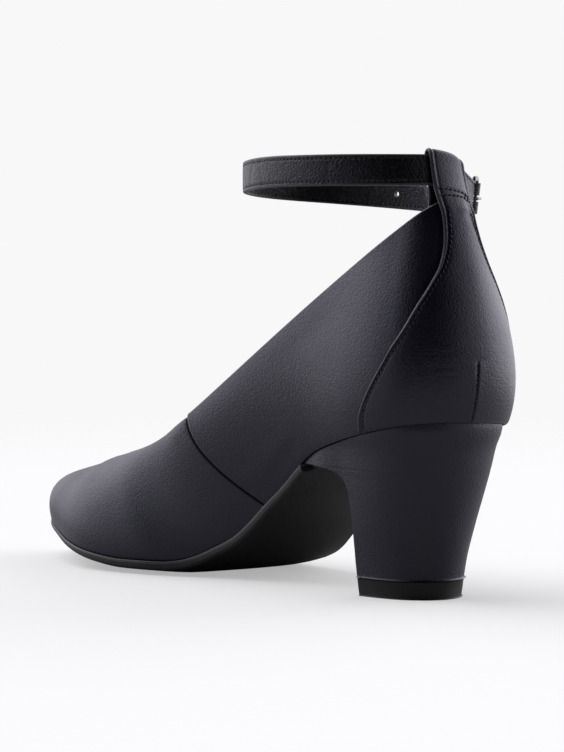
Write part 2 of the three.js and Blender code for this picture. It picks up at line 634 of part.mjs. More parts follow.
function buildBuckleFrame() {
  const reach = buckle.length - buckle.wire;
  const half = (buckle.height - buckle.wire) / 2;
  const corners = [[-reach, -half, 180], [0, -half, 270], [0, half, 0], [-reach, half, 90]];
  const path = corners.flatMap(([x, y, from]) => range(5, from, from + 90).map((a) => new THREE.Vector2(
    x - Math.sign(x + reach / 2) * buckle.corner + buckle.corner * Math.cos(a * radians),
    y - Math.sign(y) * buckle.corner + buckle.corner * Math.sin(a * radians),
  )));
  return facingOut(placed(closedWire(path, buckle.wire / 2, 10), strapEnds.buckleEnd));
}

function buildProng() {
  const wire = buckle.prong / 2;
  const orbit = buckle.wire / 2 + fit.gap + wire;
  const circle = range(16, 0, 2 * Math.PI).slice(0, -1).map((a) => new THREE.Vector2(orbit * Math.cos(a), orbit * Math.sin(a)));
  const hook = facingOut(placed(closedWire(circle, wire, 8).rotateX(Math.PI / 2), strapEnds.buckleEnd));
  const reach = buckle.length - buckle.wire / 2;
  const rod = facingOut(
    placed(tube(wire, reach, 8).rotateZ(Math.PI / 2).translate(-reach / 2, 0, -orbit), strapEnds.buckleEnd),
  );
  return hook.add(rod);
}

function part(name, solid, material) {
  const mesh = new THREE.Mesh(toGeometry(solid), material);
  mesh.geometry.computeVertexNormals();
  mesh.name = name;
  return mesh;
}

const leather = new THREE.MeshStandardMaterial({ color: 0x1d1e2b, roughness: 0.5, side: THREE.DoubleSide });
const rubber = new THREE.MeshStandardMaterial({ color: 0x141517, roughness: 0.6 });
const metal = new THREE.MeshStandardMaterial({ color: 0x6b6e74, metalness: 1, roughness: 0.3 });
const sock = new THREE.MeshStandardMaterial({ color: 0x24242c, roughness: 0.8 });

const root = new THREE.Group();
root.name = "ankle_strap_pump";
root.add(part("upper", buildUpper(), leather));
root.add(part("outsole", buildOutsole(), rubber));
root.add(part("insole", buildInsole(), sock));
root.add(part("heel_block", buildHeel(), leather));
root.add(part("top_piece", buildTopPiece(), rubber));
root.add(part("heel_counter", buildCounter(), leather));
root.add(part("ankle_strap", buildStrap(), leather));
root.add(part("buckle_frame", buildBuckleFrame(), metal));
root.add(part("buckle_prong", buildProng(), metal));

const ground = heelRing(0);
const groundX = ground.map((p) => p.x);
root.position.x = -(Math.min(...groundX) + Math.max(...groundX)) / 2;

export default root;
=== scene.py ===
# A right ankle strap pump in navy leather: its visible pieces, finishes, light and camera.
# Sizes are in millimetres until a mesh is written. +X points to the toe, +Y to the inner side, +Z up.
import math
import bpy
import bmesh
import numpy as np
from mathutils import Matrix


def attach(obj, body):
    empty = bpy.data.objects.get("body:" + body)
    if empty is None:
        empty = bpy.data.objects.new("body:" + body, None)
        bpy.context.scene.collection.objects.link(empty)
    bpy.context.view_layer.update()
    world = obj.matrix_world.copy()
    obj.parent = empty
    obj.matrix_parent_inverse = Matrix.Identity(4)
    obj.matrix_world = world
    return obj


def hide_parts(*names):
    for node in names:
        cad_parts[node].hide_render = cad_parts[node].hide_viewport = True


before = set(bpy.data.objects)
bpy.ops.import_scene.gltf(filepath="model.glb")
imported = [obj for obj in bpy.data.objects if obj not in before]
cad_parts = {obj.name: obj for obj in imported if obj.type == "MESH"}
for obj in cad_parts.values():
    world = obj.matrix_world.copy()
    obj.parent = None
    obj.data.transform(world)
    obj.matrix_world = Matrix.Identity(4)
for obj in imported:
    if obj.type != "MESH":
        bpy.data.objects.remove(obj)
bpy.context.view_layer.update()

# The last and the bed, in the same shares as the solids.
shoe = {"length": 236, "ballWidth": 77, "seatHeight": 63, "backHeight": 141}
fitGap = 0.3
groundHeel = {"back": 4.5, "front": 16.5}  # percent of length
originX = shoe["length"] * (groundHeel["back"] + groundHeel["front"]) / 200

stationNames = (
    "u", "footX", "footY", "topX", "topY", "topZ", "rise", "out", "lean", "drop", "outTop", "leanTop",
)
medial = [
    (0, -0.5, 0, 3.8, 0, 100, 15.6, 7, 0, 21, 7, 0),
    (0.09, 0.95, 18.2, 4.8, 12.5, 97.4, 15, 6.6, 0, 19, 6.8, 0),
    (0.17, 4.7, 29.9, 7.4, 20.1, 93.1, 14, 6, 0, 17, 6, 0),
    (0.27, 12.7, 33.8, 14, 27.3, 84.6, 13, 5, 0, 14, 4.3, 0),
    (0.37, 25.4, 27.9, 28.4, 32.6, 68.4, 11, 5, 2, 10, 2.2, 0),
    (0.47, 37.7, 23.4, 51.5, 36.4, 43, 6.4, 5, 10, 8, 2.8, -2),
    (0.55, 48.7, 28.8, 60.2, 34.2, 35.5, 7, 5, 7, 6, 3.6, 0),
    (0.64, 61.4, 45.2, 68.2, 31.2, 31.5, 8.5, 3, 2, 3, 6.4, 0),
    (0.73, 73.7, 50, 73.8, 27, 29.5, 10.6, 2.8, 0, 2.2, 8, 0),
    (0.83, 85.6, 38, 76, 18.5, 28.8, 12.6, 3.4, 0, 3.4, 13, 0),
    (0.92, 94, 22, 77.2, 9.3, 28.2, 12.6, 3.4, 0, 3.8, 18, 0),
    (1, 99.2, 3.4, 77.6, 0, 28, 12.4, 3.2, 0, 4, 20.6, 0),
]
lateral = [
    (0.09, 0.95, -18.8, 4.8, -12.5, 97.4, 15, 6.6, 0, 19, 4.9, 0),
    (0.17, 4.7, -31.8, 7.4, -20.1, 93, 14, 6, 0, 17, 5.2, 0),
    (0.27, 12.7, -36.4, 14, -28, 84, 13, 5, 0, 14, 4.3, 0),
    (0.37, 25.4, -37, 28.4, -34, 67, 11, 3.4, 2, 10, 2.2, 0),
    (0.47, 38.6, -38, 51.5, -37, 41.5, 6.4, 3, 9, 7, 2.8, -2),
    (0.55, 50, -42.5, 60.2, -34.6, 34.8, 7, 2.8, 6, 5, 4, 0),
    (0.64, 61.4, -47.2, 67.8, -30.7, 32, 8.5, 2.4, 1, 3, 6.4, 0),
    (0.73, 73.7, -47.2, 73, -25.5, 29.8, 9.5, 2.1, 0, 2.5, 7.9, 0),
    (0.83, 85.6, -37, 75.8, -17.5, 29, 12, 2.8, 0, 3.2, 12.8, 0),
    (0.92, 93.8, -18.5, 77.2, -9, 28.4, 12, 3, 0, 3.7, 17.6, 0),
]
# x, height, lean and edge lift of the foot bed
bed = np.array([
    (-4, 100.2, 0.04, 0), (0, 98.9, 0.04, 0), (11.9, 90.6, 0.03, 0), (19.5, 84.2, 0.02, 0),
    (24.6, 77.8, 0.02, 0), (28.4, 68.3, 0.05, 0.3), (32.6, 56.2, 0.07, 0.6), (37.7, 42.2, 0.08, 1),
    (41.5, 29.8, 0.08, 1.3), (44.9, 20, 0.08, 1.6), (48.7, 13.2, 0.06, 1.8), (51.3, 9.5, 0.03, 1.9),
    (54, 7.2, 0.01, 1.9), (56.8, 6.35, 0, 1.9), (63.6, 6.35, 0, 1.9), (70, 8.2, 0, 1.9),
    (78, 12.7, 0, 1.6), (87.3, 18.9, 0, 1.3), (102, 24.4, 0, 0.8),
])
# z, back, along, across and front of the heel
heelLevels = np.array([
    (0, 4.5, 1.05, 0.64, 16.5), (20.6, 4, 0.95, 0.69, 16.8), (41, 3, 0.88, 0.77, 16.7),
    (54, 2.15, 0.87, 0.825, 16.9), (62.5, 1.5, 0.89, 0.86, 17.4), (67.3, 1.15, 0.9, 0.88, 18.7),
    (70.5, 0.95, 0.91, 0.895, 20.9), (71.9, 0.85, 0.915, 0.9, 24.4), (72.6, 0.8, 0.92, 0.905, 27.2),
    (74, 0.7, 0.925, 0.91, 28.2), (84, 0.1, 0.96, 0.955, 28.2), (92, -0.65, 1.01, 1.01, 28.2),
    (97, -0.85, 1.02, 1.025, 28.2), (110, -0.85, 1.02, 1.025, 28.2),
])
# share of the wall's height, and station of the counter panel's edge
counterEdge = np.array([
    (0, 0.256), (0.08, 0.252), (0.16, 0.24), (0.26, 0.216), (0.36, 0.188), (0.48, 0.155),
    (0.58, 0.13), (0.66, 0.104), (0.74, 0.077), (0.84, 0.06), (0.92, 0.056), (1, 0.058),
])
# angle round the loop, height and lean of the ankle strap
strapLie = np.array([
    (-60, 98.6, -0.14), (-33, 99.6, -0.12), (-20, 101.6, 0.02), (-12, 103.7, 0.16), (-5, 105.3, 0.24),
    (5, 106.2, 0.27), (14, 106.6, 0.25), (50, 106.6, 0.08), (90, 106.3, 0), (140, 104.6, 0),
    (180, 103, 0), (220, 101.6, 0), (270, 99.7, 0),
])


def hermite(s, h, start, end, leaving, arriving):
    return (
        (2 * s**3 - 3 * s**2 + 1) * start
        + (s**3 - 2 * s**2 + s) * h * leaving
        + (-2 * s**3 + 3 * s**2) * end
        + (s**3 - s**2) * h * arriving
    )


def along(table, column, at):  # a column's value at a place, without overshoot
    x, y = table[:, 0], table[:, column]
    slope = np.diff(y) / np.diff(x)
    before, after = slope[:-1], slope[1:]
    same = before * after > 0
    inner = np.where(same, 2 * before * after / np.where(same, before + after, 1), 0)
    tangent = np.concatenate([slope[:1], inner, slope[-1:]])
    at = np.clip(at, x[0], x[-1])
    i = np.clip(np.searchsorted(x, at) - 1, 0, len(x) - 2)
    h = x[i + 1] - x[i]
    return hermite((at - x[i]) / h, h, y[i], y[i + 1], tangent[i], tangent[i + 1])


ring = np.array(medial + [(2 - row[0], *row[1:]) for row in reversed(lateral)])


def station(u):  # all columns at a place round the shoe, 0 to 1 by the inner side and on to 2
    at = np.mod(u, 2)
    n = len(ring)
    i = np.clip(np.searchsorted(ring[:, 0], at, side="right") - 1, 0, n - 1)
    k = [i - 1, i, i + 1, i + 2]
    place = [ring[j % n, 0] + 2 * np.floor_divide(j, n) for j in k]
    row = [ring[j % n] for j in k]
    h = place[2] - place[1]
    s = ((at - place[1]) / h)[..., None]
    leaving = (row[2] - row[0]) / (place[2] - place[0])[..., None]
    arriving = (row[3] - row[1]) / (place[3] - place[1])[..., None]
    value = hermite(s, h[..., None], row[1], row[2], leaving, arriving)
    return {name: value[..., c] for c, name in enumerate(stationNames)}


def lengthShare(percent):
    return percent / 100 * shoe["length"]


def widthShare(percent):
    return percent / 100 * shoe["ballWidth"]


def backShare(percent):
    return percent / 100 * shoe["backHeight"]


def seatShare(percent):
    return percent / 100 * shoe["seatHeight"]


def smooth(at, low, high):
    t = np.clip((at - low) / (high - low), 0, 1)
    return t * t * (3 - 2 * t)


def unit(v):
    return v / np.maximum(np.linalg.norm(v, axis=-1, keepdims=True), 1e-9)


def stack(*parts):
    return np.stack(np.broadcast_arrays(*parts), -1)


flatShare = 0.55  # of the bed's half width, before its edges lift


def bedHeight(x, y, side):
    at = 100 * x / shoe["length"]
    lift = np.maximum(0, (np.abs(side) - flatShare) / (1 - flatShare)) ** 2
    return seatShare(along(bed, 1, at) + along(bed, 3, at) * lift) + along(bed, 2, at) * y


def footPlan(u):
    s = station(u)
    return stack(lengthShare(s["footX"]), widthShare(s["footY"]))


def topPlan(u):
    s = station(u)
    return stack(lengthShare(s["topX"]), widthShare(s["topY"]))


def outward(plan, u):
    step = unit(plan(u + 0.004) - plan(u - 0.004))
    return stack(-step[..., 1], step[..., 0])


def footEdge(u, offset):
    return footPlan(u) + outward(footPlan, u) * np.asarray(offset)[..., None]


inverse = np.linspace(0, 1, 4001)
inverseX = footPlan(inverse)[:, 0]


def stationAt(x):  # station on the inner side at a distance from the heel
    return np.interp(x, inverseX, inverse)


def lastPoint(u, v):  # u round the shoe, v from the feather edge (0) to the topline (1)
    s = station(u)
    foot, top = footPlan(u), topPlan(u)
    footOut, topOut = outward(footPlan, u), outward(topPlan, u)
    base = bedHeight(foot[..., 0], foot[..., 1], 1) + fitGap
    topZ = backShare(s["topZ"])
    lowOut, highOut = backShare(s["out"]), backShare(s["outTop"])
    corners = [
        stack(foot[..., 0], foot[..., 1], base),
        stack(
            foot[..., 0] + footOut[..., 0] * lowOut + backShare(s["lean"]),
            foot[..., 1] + footOut[..., 1] * lowOut,
            base + backShare(s["rise"]),
        ),
        stack(
            top[..., 0] + topOut[..., 0] * highOut + backShare(s["leanTop"]),
            top[..., 1] + topOut[..., 1] * highOut,
            topZ - backShare(s["drop"]),
        ),
        stack(top[..., 0], top[..., 1], topZ),
    ]
    v = np.asarray(v, float)[..., None]
    w = 1 - v
    return corners[0] * w**3 + corners[1] * 3 * w * w * v + corners[2] * 3 * w * v * v + corners[3] * v**3


def lastNormal(u, v):  # level at the feather edge, then square to the last
    u, v = np.broadcast_arrays(np.asarray(u, float), np.asarray(v, float))
    du = lastPoint(u + 0.003, v) - lastPoint(u - 0.003, v)
    dv = lastPoint(u, np.minimum(1, v + 0.01)) - lastPoint(u, np.maximum(0, v - 0.01))
    true = unit(np.cross(dv, du))
    flat = outward(footPlan, u)
    level = stack(flat[..., 0], flat[..., 1], 0)
    share = smooth(v, 0, 0.05)[..., None]
    return unit(level * (1 - share) + true * share)


def wallPoint(u, v, offset):
    return lastPoint(u, v) + lastNormal(u, v) * np.asarray(offset)[..., None]


# Meshes


def gridFaces(rows, columns, closeRows=False, closeColumns=False):
    r = np.arange(rows if closeRows else rows - 1)
    c = np.arange(columns if closeColumns else columns - 1)
    r, c = np.meshgrid(r, c, indexing="ij")
    down, right = (r + 1) % rows, (c + 1) % columns
    here, below = r * columns, down * columns
    return stack(here + c, here + right, below + right, below + c).reshape(-1, 4)


def newPiece(name, points, faces, materials, faceMaterial=None):
    points = np.asarray(points, float).reshape(-1, 3).copy()
    points[:, 0] -= originX
    mesh = bpy.data.meshes.new(name)
    mesh.from_pydata((points / 1000).tolist(), [], [tuple(int(i) for i in f) for f in faces])
    for material in materials:
        mesh.materials.append(material)
    if faceMaterial is not None:
        mesh.polygons.foreach_set("material_index", np.asarray(faceMaterial, np.int32))
    made = bmesh.new()
    made.from_mesh(mesh)
    bmesh.ops.remove_doubles(made, verts=made.verts, dist=2e-6)
    bmesh.ops.recalc_face_normals(made, faces=made.faces)
    made.to_mesh(mesh)
    made.free()
    mesh.shade_smooth()
    piece = bpy.data.objects.new(name, mesh)
    bpy.context.scene.collection.objects.link(piece)
    return piece


def sharpen(piece, degrees):
    piece.data.set_sharp_from_angle(angle=math.radians(degrees))


def applied(piece):  # the evaluated mesh in place of the live modifiers
    graph = bpy.context.evaluated_depsgraph_get()
    mesh = bpy.data.meshes.new_from_object(piece.evaluated_get(graph))
    piece.modifiers.clear()
    piece.data = mesh


def cut(piece, tool, operation="DIFFERENCE"):
    step = piece.modifiers.new("cut", "BOOLEAN")
    step.operation = operation
    step.solver = "EXACT"
    step.object = tool
    bpy.context.view_layer.update()
    applied(piece)
    bpy.data.objects.remove(tool)


def loopCaps(rows, columns):  # the two end faces of a tube whose rows are closed loops
    return [tuple(range(columns)), tuple((rows - 1) * columns + c for c in range(columns))]


def roundedSection(places, halfWide, thick, radius, corner=4):
    # a flat closed section through the given places with round ends, and which of its faces are on the ends
    half = thick / 2
    radius = min(radius, half)
    turn = np.radians(np.linspace(90, -90, 2 * corner + 2)[1:-1])
    arc = np.where(turn > 0, half - radius, radius - half)
    edge = list(zip(halfWide - radius + radius * np.cos(turn), arc + radius * np.sin(turn)))
    front = [(x, half) for x in places]
    back = [(x, -half) for x in places[::-1]]
    section = front + edge + back + [(-x, -y) for x, y in edge]
    flat, bend = len(places) - 1, len(edge) + 1
    return np.array(section), np.array(([0] * flat + [1] * bend) * 2)


def dip(at, centre, wide):  # 1 at the centre, falling to 0 on both sides
    return np.exp(-(((at - centre) / wide) ** 2))


# Finishes


def nodeGroup(name, inputs, outputs):
    group = bpy.data.node_groups.new(name, "ShaderNodeTree")
    for label, kind, value in inputs:
        socket = group.interface.new_socket(label, in_out="INPUT", socket_type=kind)
        socket.default_value = value
    for label, kind in outputs:
        group.interface.new_socket(label, in_out="OUTPUT", socket_type=kind)
    return group, group.nodes.new("NodeGroupInput"), group.nodes.new("NodeGroupOutput")


def addNode(tree, kind, values=None, **settings):
    node = tree.nodes.new(kind)
    for key, value in settings.items():
        setattr(node, key, value)
    for key, value in (values or {}).items():
        node.inputs[key].default_value = value
    return node


def mathNode(tree, operation, *sources):
    node = addNode(tree, "ShaderNodeMath", operation=operation)
    for socket, source in zip(node.inputs, sources):
        if isinstance(source, (int, float)):
            socket.default_value = source
        else:
            tree.links.new(source, socket)
    return node.outputs[0]


grainSize = {
    "warpScale": 420,
    "warp": 0.0007,  # metres
    "randomness": 0.9,
    "smoothness": 0.4,
    "crackScale": 0.55,  # of the cells
    "crackWidth": 0.12,
    "crackAmount": 0.35,
    "cloudScale": 45,
    "baseTone": 0.88,
    "pebbleTone": 0.2,
    "shineAmount": 0.16,
}


def buildGrain():  # fine pebbled grain with pores and faint creases, from Object coordinates
    group, given, result = nodeGroup(
        "leatherGrain",
        [("Cell Size", "NodeSocketFloat", 0.0008), ("Crease Size", "NodeSocketFloat", 0.006),
         ("Crease Amount", "NodeSocketFloat", 0.3), ("Tone Amount", "NodeSocketFloat", 0.12)],
        [("Height", "NodeSocketFloat"), ("Tone", "NodeSocketFloat"), ("Shine", "NodeSocketFloat")],
    )
    link = group.links.new
    place = addNode(group, "ShaderNodeTexCoord")
    cellScale = mathNode(group, "DIVIDE", 1, given.outputs["Cell Size"])
    creaseScale = mathNode(group, "DIVIDE", 1, given.outputs["Crease Size"])
    warp = addNode(group, "ShaderNodeTexNoise", {"Scale": grainSize["warpScale"], "Detail": 2})
    link(place.outputs["Object"], warp.inputs["Vector"])
    bend = addNode(group, "ShaderNodeVectorMath", operation="MULTIPLY_ADD")
    link(warp.outputs["Color"], bend.inputs[0])
    bend.inputs[1].default_value = (grainSize["warp"],) * 3
    link(place.outputs["Object"], bend.inputs[2])
    cells = addNode(group, "ShaderNodeTexVoronoi", feature="SMOOTH_F1")
    cells.inputs["Randomness"].default_value = grainSize["randomness"]
    cells.inputs["Smoothness"].default_value = grainSize["smoothness"]
    link(bend.outputs[0], cells.inputs["Vector"])
    link(cellScale, cells.inputs["Scale"])
    edges = addNode(group, "ShaderNodeTexVoronoi", {"Randomness": 1}, feature="DISTANCE_TO_EDGE")
    link(bend.outputs[0], edges.inputs["Vector"])
    link(mathNode(group, "MULTIPLY", cellScale, grainSize["crackScale"]), edges.inputs["Scale"])
    crack = addNode(group, "ShaderNodeMapRange", {"From Max": grainSize["crackWidth"]})
    link(edges.outputs["Distance"], crack.inputs["Value"])
    crease = addNode(group, "ShaderNodeTexNoise", {"Detail": 5, "Roughness": 0.62, "Distortion": 0.6})
    link(place.outputs["Object"], crease.inputs["Vector"])
    link(creaseScale, crease.inputs["Scale"])
    pebble = mathNode(group, "SUBTRACT", 0.6, cells.outputs["Distance"])
    cracks = mathNode(group, "MULTIPLY", crack.outputs["Result"], grainSize["crackAmount"])
    creases = mathNode(group, "MULTIPLY", crease.outputs["Fac"], given.outputs["Crease Amount"])
    height = mathNode(group, "ADD", mathNode(group, "ADD", pebble, cracks), creases)
    cloud = addNode(group, "ShaderNodeTexNoise", {"Detail": 4, "Roughness": 0.55})
    cloud.inputs["Scale"].default_value = grainSize["cloudScale"]
    link(place.outputs["Object"], cloud.inputs["Vector"])
    drift = mathNode(group, "SUBTRACT", cloud.outputs["Fac"], 0.5)
    wide = mathNode(group, "ADD", 1, mathNode(group, "MULTIPLY", drift, given.outputs["Tone Amount"]))
    pebbles = mathNode(group, "MULTIPLY", pebble, grainSize["pebbleTone"])
    near = mathNode(group, "ADD", grainSize["baseTone"], pebbles)
    link(height, result.inputs["Height"])
    link(mathNode(group, "MULTIPLY", wide, near), result.inputs["Tone"])
    link(mathNode(group, "MULTIPLY", drift, grainSize["shineAmount"]), result.inputs["Shine"])
    return group


grain = buildGrain()


def makeFinish(name, look):  # one Principled material on the grain group
    material = bpy.data.materials.new(name)
    material.use_nodes = True
    tree = material.node_tree
    tree.nodes.clear()
    output = addNode(tree, "ShaderNodeOutputMaterial")
    shader = addNode(tree, "ShaderNodeBsdfPrincipled")
    tree.links.new(shader.outputs[0], output.inputs[0])
    surface = addNode(tree, "ShaderNodeGroup", node_tree=grain)
    for key, value in look["grain"].items():
        surface.inputs[key].default_value = value
    colour = addNode(tree, "ShaderNodeMix", data_type="RGBA", blend_type="MULTIPLY")
    colour.inputs[0].default_value = 1
    colour.inputs["A"].default_value = (*look["colour"], 1)
    tree.links.new(surface.outputs["Tone"], colour.inputs["B"])
    tree.links.new(colour.outputs["Result"], shader.inputs["Base Color"])
    rough = mathNode(tree, "ADD", surface.outputs["Shine"], look["roughness"])
    tree.links.new(rough, shader.inputs["Roughness"])
    bump = addNode(tree, "ShaderNodeBump", {"Strength": look["bump"], "Distance": look["depth"]})
    tree.links.new(surface.outputs["Height"], bump.inputs["Height"])
    tree.links.new(bump.outputs["Normal"], shader.inputs["Normal"])
    for key, value in look.get("shader", {}).items():
        shader.inputs[key].default_value = value
    return material


navyLook = {
    "colour": (0.0056, 0.0056, 0.0165),
    "roughness": 0.39,
    "bump": 0.55,
    "depth": 0.00014,
    "grain": {"Cell Size": 0.0008, "Crease Size": 0.0065, "Crease Amount": 0.7, "Tone Amount": 0.3},
    "shader": {
        "IOR": 1.56, "Specular Tint": (0.89, 0.88, 1, 1),
        "Sheen Weight": 0.05, "Sheen Roughness": 0.45, "Sheen Tint": (0.8, 0.78, 1, 1),
    },
}
strapLook = {
    "colour": (0.0026, 0.0027, 0.0062),
    "roughness": 0.37,
    "bump": 0.75,
    "depth": 0.0002,
    "grain": {"Cell Size": 0.0008, "Crease Size": 0.0032, "Crease Amount": 1.5, "Tone Amount": 0.3},
    "shader": {
        "IOR": 1.46, "Specular Tint": (0.92, 0.92, 1, 1), "Sheen Weight": 0.04, "Sheen Roughness": 0.45,
    },
}
# painted highlight: a much lighter finish for the cut and turned edges, standing in for the light they catch
edgeHighlightLook = {
    "colour": (0.05, 0.05, 0.062),
    "roughness": 0.42,
    "bump": 0.4,
    "depth": 0.00006,
    "grain": {"Cell Size": 0.0003, "Crease Size": 0.0015, "Crease Amount": 0.8, "Tone Amount": 0.5},
    "shader": {"IOR": 1.5},
}
liningLook = {
    "colour": (0.012, 0.012, 0.0145),
    "roughness": 0.62,
    "bump": 0.35,
    "depth": 0.0001,
    "grain": {"Cell Size": 0.0007, "Crease Size": 0.01, "Crease Amount": 0.3, "Tone Amount": 0.2},
    "shader": {"IOR": 1.45},
}
rubberLook = {
    "colour": (0.004, 0.0045, 0.005),
    "roughness": 0.5,
    "bump": 0.45,
    "depth": 0.00009,
    "grain": {"Cell Size": 0.0006, "Crease Size": 0.004, "Crease Amount": 0.6, "Tone Amount": 0.3},
    "shader": {"IOR": 1.5},
}
threadLook = {
    "colour": (0.006, 0.006, 0.013),
    "roughness": 0.36,
    "bump": 0.3,
    "depth": 0.00005,
    "grain": {"Cell Size": 0.0002, "Crease Size": 0.0006, "Crease Amount": 0.6, "Tone Amount": 0.2},
    "shader": {"IOR": 1.5, "Sheen Weight": 0.1, "Sheen Roughness": 0.4},
}
# painted shade: a near black finish for the needle holes and the seam groove, standing in for the shade in
# them
holeShadeLook = {
    "colour": (0.001, 0.001, 0.0016),
    "roughness": 0.8,
    "bump": 0.2,
    "depth": 0.00005,
    "grain": {"Cell Size": 0.0004, "Crease Size": 0.002, "Crease Amount": 0.6, "Tone Amount": 0.3},
    "shader": {"IOR": 1.3},
}
metalLook = {
    "colour": (0.07, 0.07, 0.077),
    "roughness": 0.3,
    "bump": 0.1,
    "depth": 0.00002,
    "grain": {"Cell Size": 0.0004, "Crease Size": 0.002, "Crease Amount": 0.6, "Tone Amount": 0.4},
    "shader": {"Metallic": 1},
}
navy = makeFinish("navyLeather", navyLook)
strapLeather = makeFinish("strapLeather", strapLook)
edgeHighlight = makeFinish("edgeHighlight", edgeHighlightLook)
lining = makeFinish("liningLeather", liningLook)
rubber = makeFinish("blackRubber", rubberLook)
thread = makeFinish("navyThread", threadLook)
needleHoleShade = makeFinish("needleHoleShade", holeShadeLook)
gunmetal = makeFinish("gunmetal", metalLook)
print("finishes ready")


def place(piece, slot, *nodes):  # one body, so every piece rides the root
    if nodes:
        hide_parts(*nodes)
    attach(piece, "root")


# The upper: quarters over the vamp, turned over at the topline
upperSize = {
    "wall": 1.6,
    "lap": 0.6,
    "seam": 0.47,  # station
    "columns": 420,
    "rows": 96,
    "liningRows": 30,
    "cutEdgeHighlight": (-0.0021, -0.0006),  # stations from the seam; the quarter's cut edge takes the lighter edge finish, a painted highlight
    # stations from the seam; the groove on the vamp side takes the near black finish, a painted shade
    "grooveShade": (-0.0006, 0.0023),
    "highlightTurn": 1.9,  # radians of the turned edge that take the painted highlight
}
# stations from the seam, and height of the quarter's cut edge over the vamp in mm
seamStep = np.array([
    (-0.5, 0.6), (-0.006, 0.6), (-0.0022, 0.72), (-0.0009, 0.62), (0, 0.2), (0.0006, -0.9),
    (0.0023, -0.9), (0.0044, -0.25), (0.012, 0), (1, 0),
])
seamColumns = np.array([
    -0.006, -0.0035, -0.0022, -0.0014, -0.0009, -0.0004, 0, 0.0004,
    0.0007, 0.0014, 0.0022, 0.004, 0.006, 0.009, 0.012,
])


# soft forms of the leather: station, share of the height, spread of each, height in mm
upperForms = [
    (0.745, 0.66, 0.022, 0.16, 0.5),
    (0.8, 0.62, 0.025, 0.18, -0.75),
    (0.845, 0.4, 0.03, 0.12, -0.35),
    (0.49, 0.93, 0.02, 0.1, 0.35),
    (0.43, 0.2, 0.03, 0.08, 0.25),
    (0.395, 0.12, 0.02, 0.06, -0.22),
    (0.33, 0.75, 0.05, 0.12, -0.2),
    (1.25, 0.6, 0.04, 0.15, -0.3),
    (1.5, 0.5, 0.05, 0.2, 0.2),
]


def fromBack(u):
    at = np.mod(u, 2)
    return np.minimum(at, 2 - at)


def upperRelief(u, v):
    relief = np.interp(fromBack(u) - upperSize["seam"], seamStep[:, 0], seamStep[:, 1])
    around = np.mod(u, 2)
    for centre, share, wide, tall, height in upperForms:
        relief = relief + height * dip(around, centre, wide) * dip(v, share, tall)
    return relief


def upperColumns():
    even = np.linspace(0, 1, upperSize["columns"] // 2 + 1)
    clear = even[np.abs(even - upperSize["seam"]) > 0.0125]
    half = np.sort(np.concatenate([clear, upperSize["seam"] + seamColumns]))
    return np.concatenate([half, 2 - half[1:-1][::-1]])


def buildUpper():
    u = upperColumns()
    half = upperSize["wall"] / 2
    top = lastPoint(u, np.ones_like(u))
    below = lastPoint(u, np.full_like(u, 0.97))
    height = np.linalg.norm(top - below, axis=-1) / 0.03
    rim = half / height  # the share of the wall's height that the turned edge takes
    rise = unit(top - below)
    points, kinds = [], []
    for t in np.linspace(0, 1, upperSize["rows"]):
        v = (0.6 * t + 0.4 * t * t * (3 - 2 * t)) * (1 - rim)
        points.append(wallPoint(u, v, upperRelief(u, v)))
        kinds.append(0)
    kinds[-1] = 2  # painted highlight: the turned edge takes the lighter edge finish
    end = 1 - rim
    relief = upperRelief(u, end)
    middle = (relief - upperSize["wall"]) / 2
    reach = (relief + upperSize["wall"]) / 2
    for a in np.radians(np.linspace(0, 180, 13)[1:-1]):
        points.append(wallPoint(u, end, middle + reach * math.cos(a)) + rise * half * math.sin(a))
        kinds.append(2 if a < upperSize["highlightTurn"] else 1)
    for t in np.linspace(1, 0, upperSize["liningRows"]):
        v = t * end
        inner = wallPoint(u, v, np.full_like(u, -upperSize["wall"]))
        if t == 0:
            inner[:, 2] = bedHeight(inner[:, 0], inner[:, 1], 1) + fitGap
        points.append(inner)
        kinds.append(1)
    points = np.array(points)
    rows, columns = points.shape[:2]
    faces = gridFaces(rows, columns, closeRows=True, closeColumns=True)
    kind = np.repeat(kinds, columns)
    fromSeam = np.tile(fromBack(u) - upperSize["seam"], rows)
    # painted shade in the groove and a painted highlight on the quarter's cut edge, set as face finishes
    for (low, high), finish in ((upperSize["grooveShade"], 3), (upperSize["cutEdgeHighlight"], 2)):
        kind = np.where((kind == 0) & (fromSeam > low) & (fromSeam < high), finish, kind)
    return newPiece("upper_shell", points, faces, [navy, lining, edgeHighlight, needleHoleShade], kind)


upper = buildUpper()
sharpen(upper, 50)
place(upper, "upper_leather", "upper")
print("upper ready")


# The sole and the insole: plates along the foot bed, rounded at their edge
soleSize = {
    "thickness": 4,
    "edgeThinning": 0.6,
    "rim": 1.1,
    "tuck": 2.6,
    "rear": 20.5,  # percent of length
    "wingEnd": 27.4,
    "lowerRound": 1.3,
    "upperRound": 0.35,
    "toeFan": 30,
    "toeFrom": 0.62,
    "toeTo": 0.92,
    "toeThinning": 2,
    "toeTuck": 0.9,
    "litRows": (4, 9),  # rows of the profile in the lighter edge finish, a painted highlight where its upper edge catches the light
}
insoleSize = {"thickness": 2.5, "inset": 2.1, "round": 0.6}


def toeShare(x):
    return smooth(x, soleSize["toeFrom"] * shoe["length"], soleSize["toeTo"] * shoe["length"])


def soleOffset(u):
    x = footPlan(u)[..., 0]
    wing = lengthShare(soleSize["wingEnd"])
    whole = (soleSize["rim"] + soleSize["tuck"]) * smooth(x, wing - 0.4, wing + 0.8)
    return whole - soleSize["tuck"] - soleSize["toeTuck"] * toeShare(x)


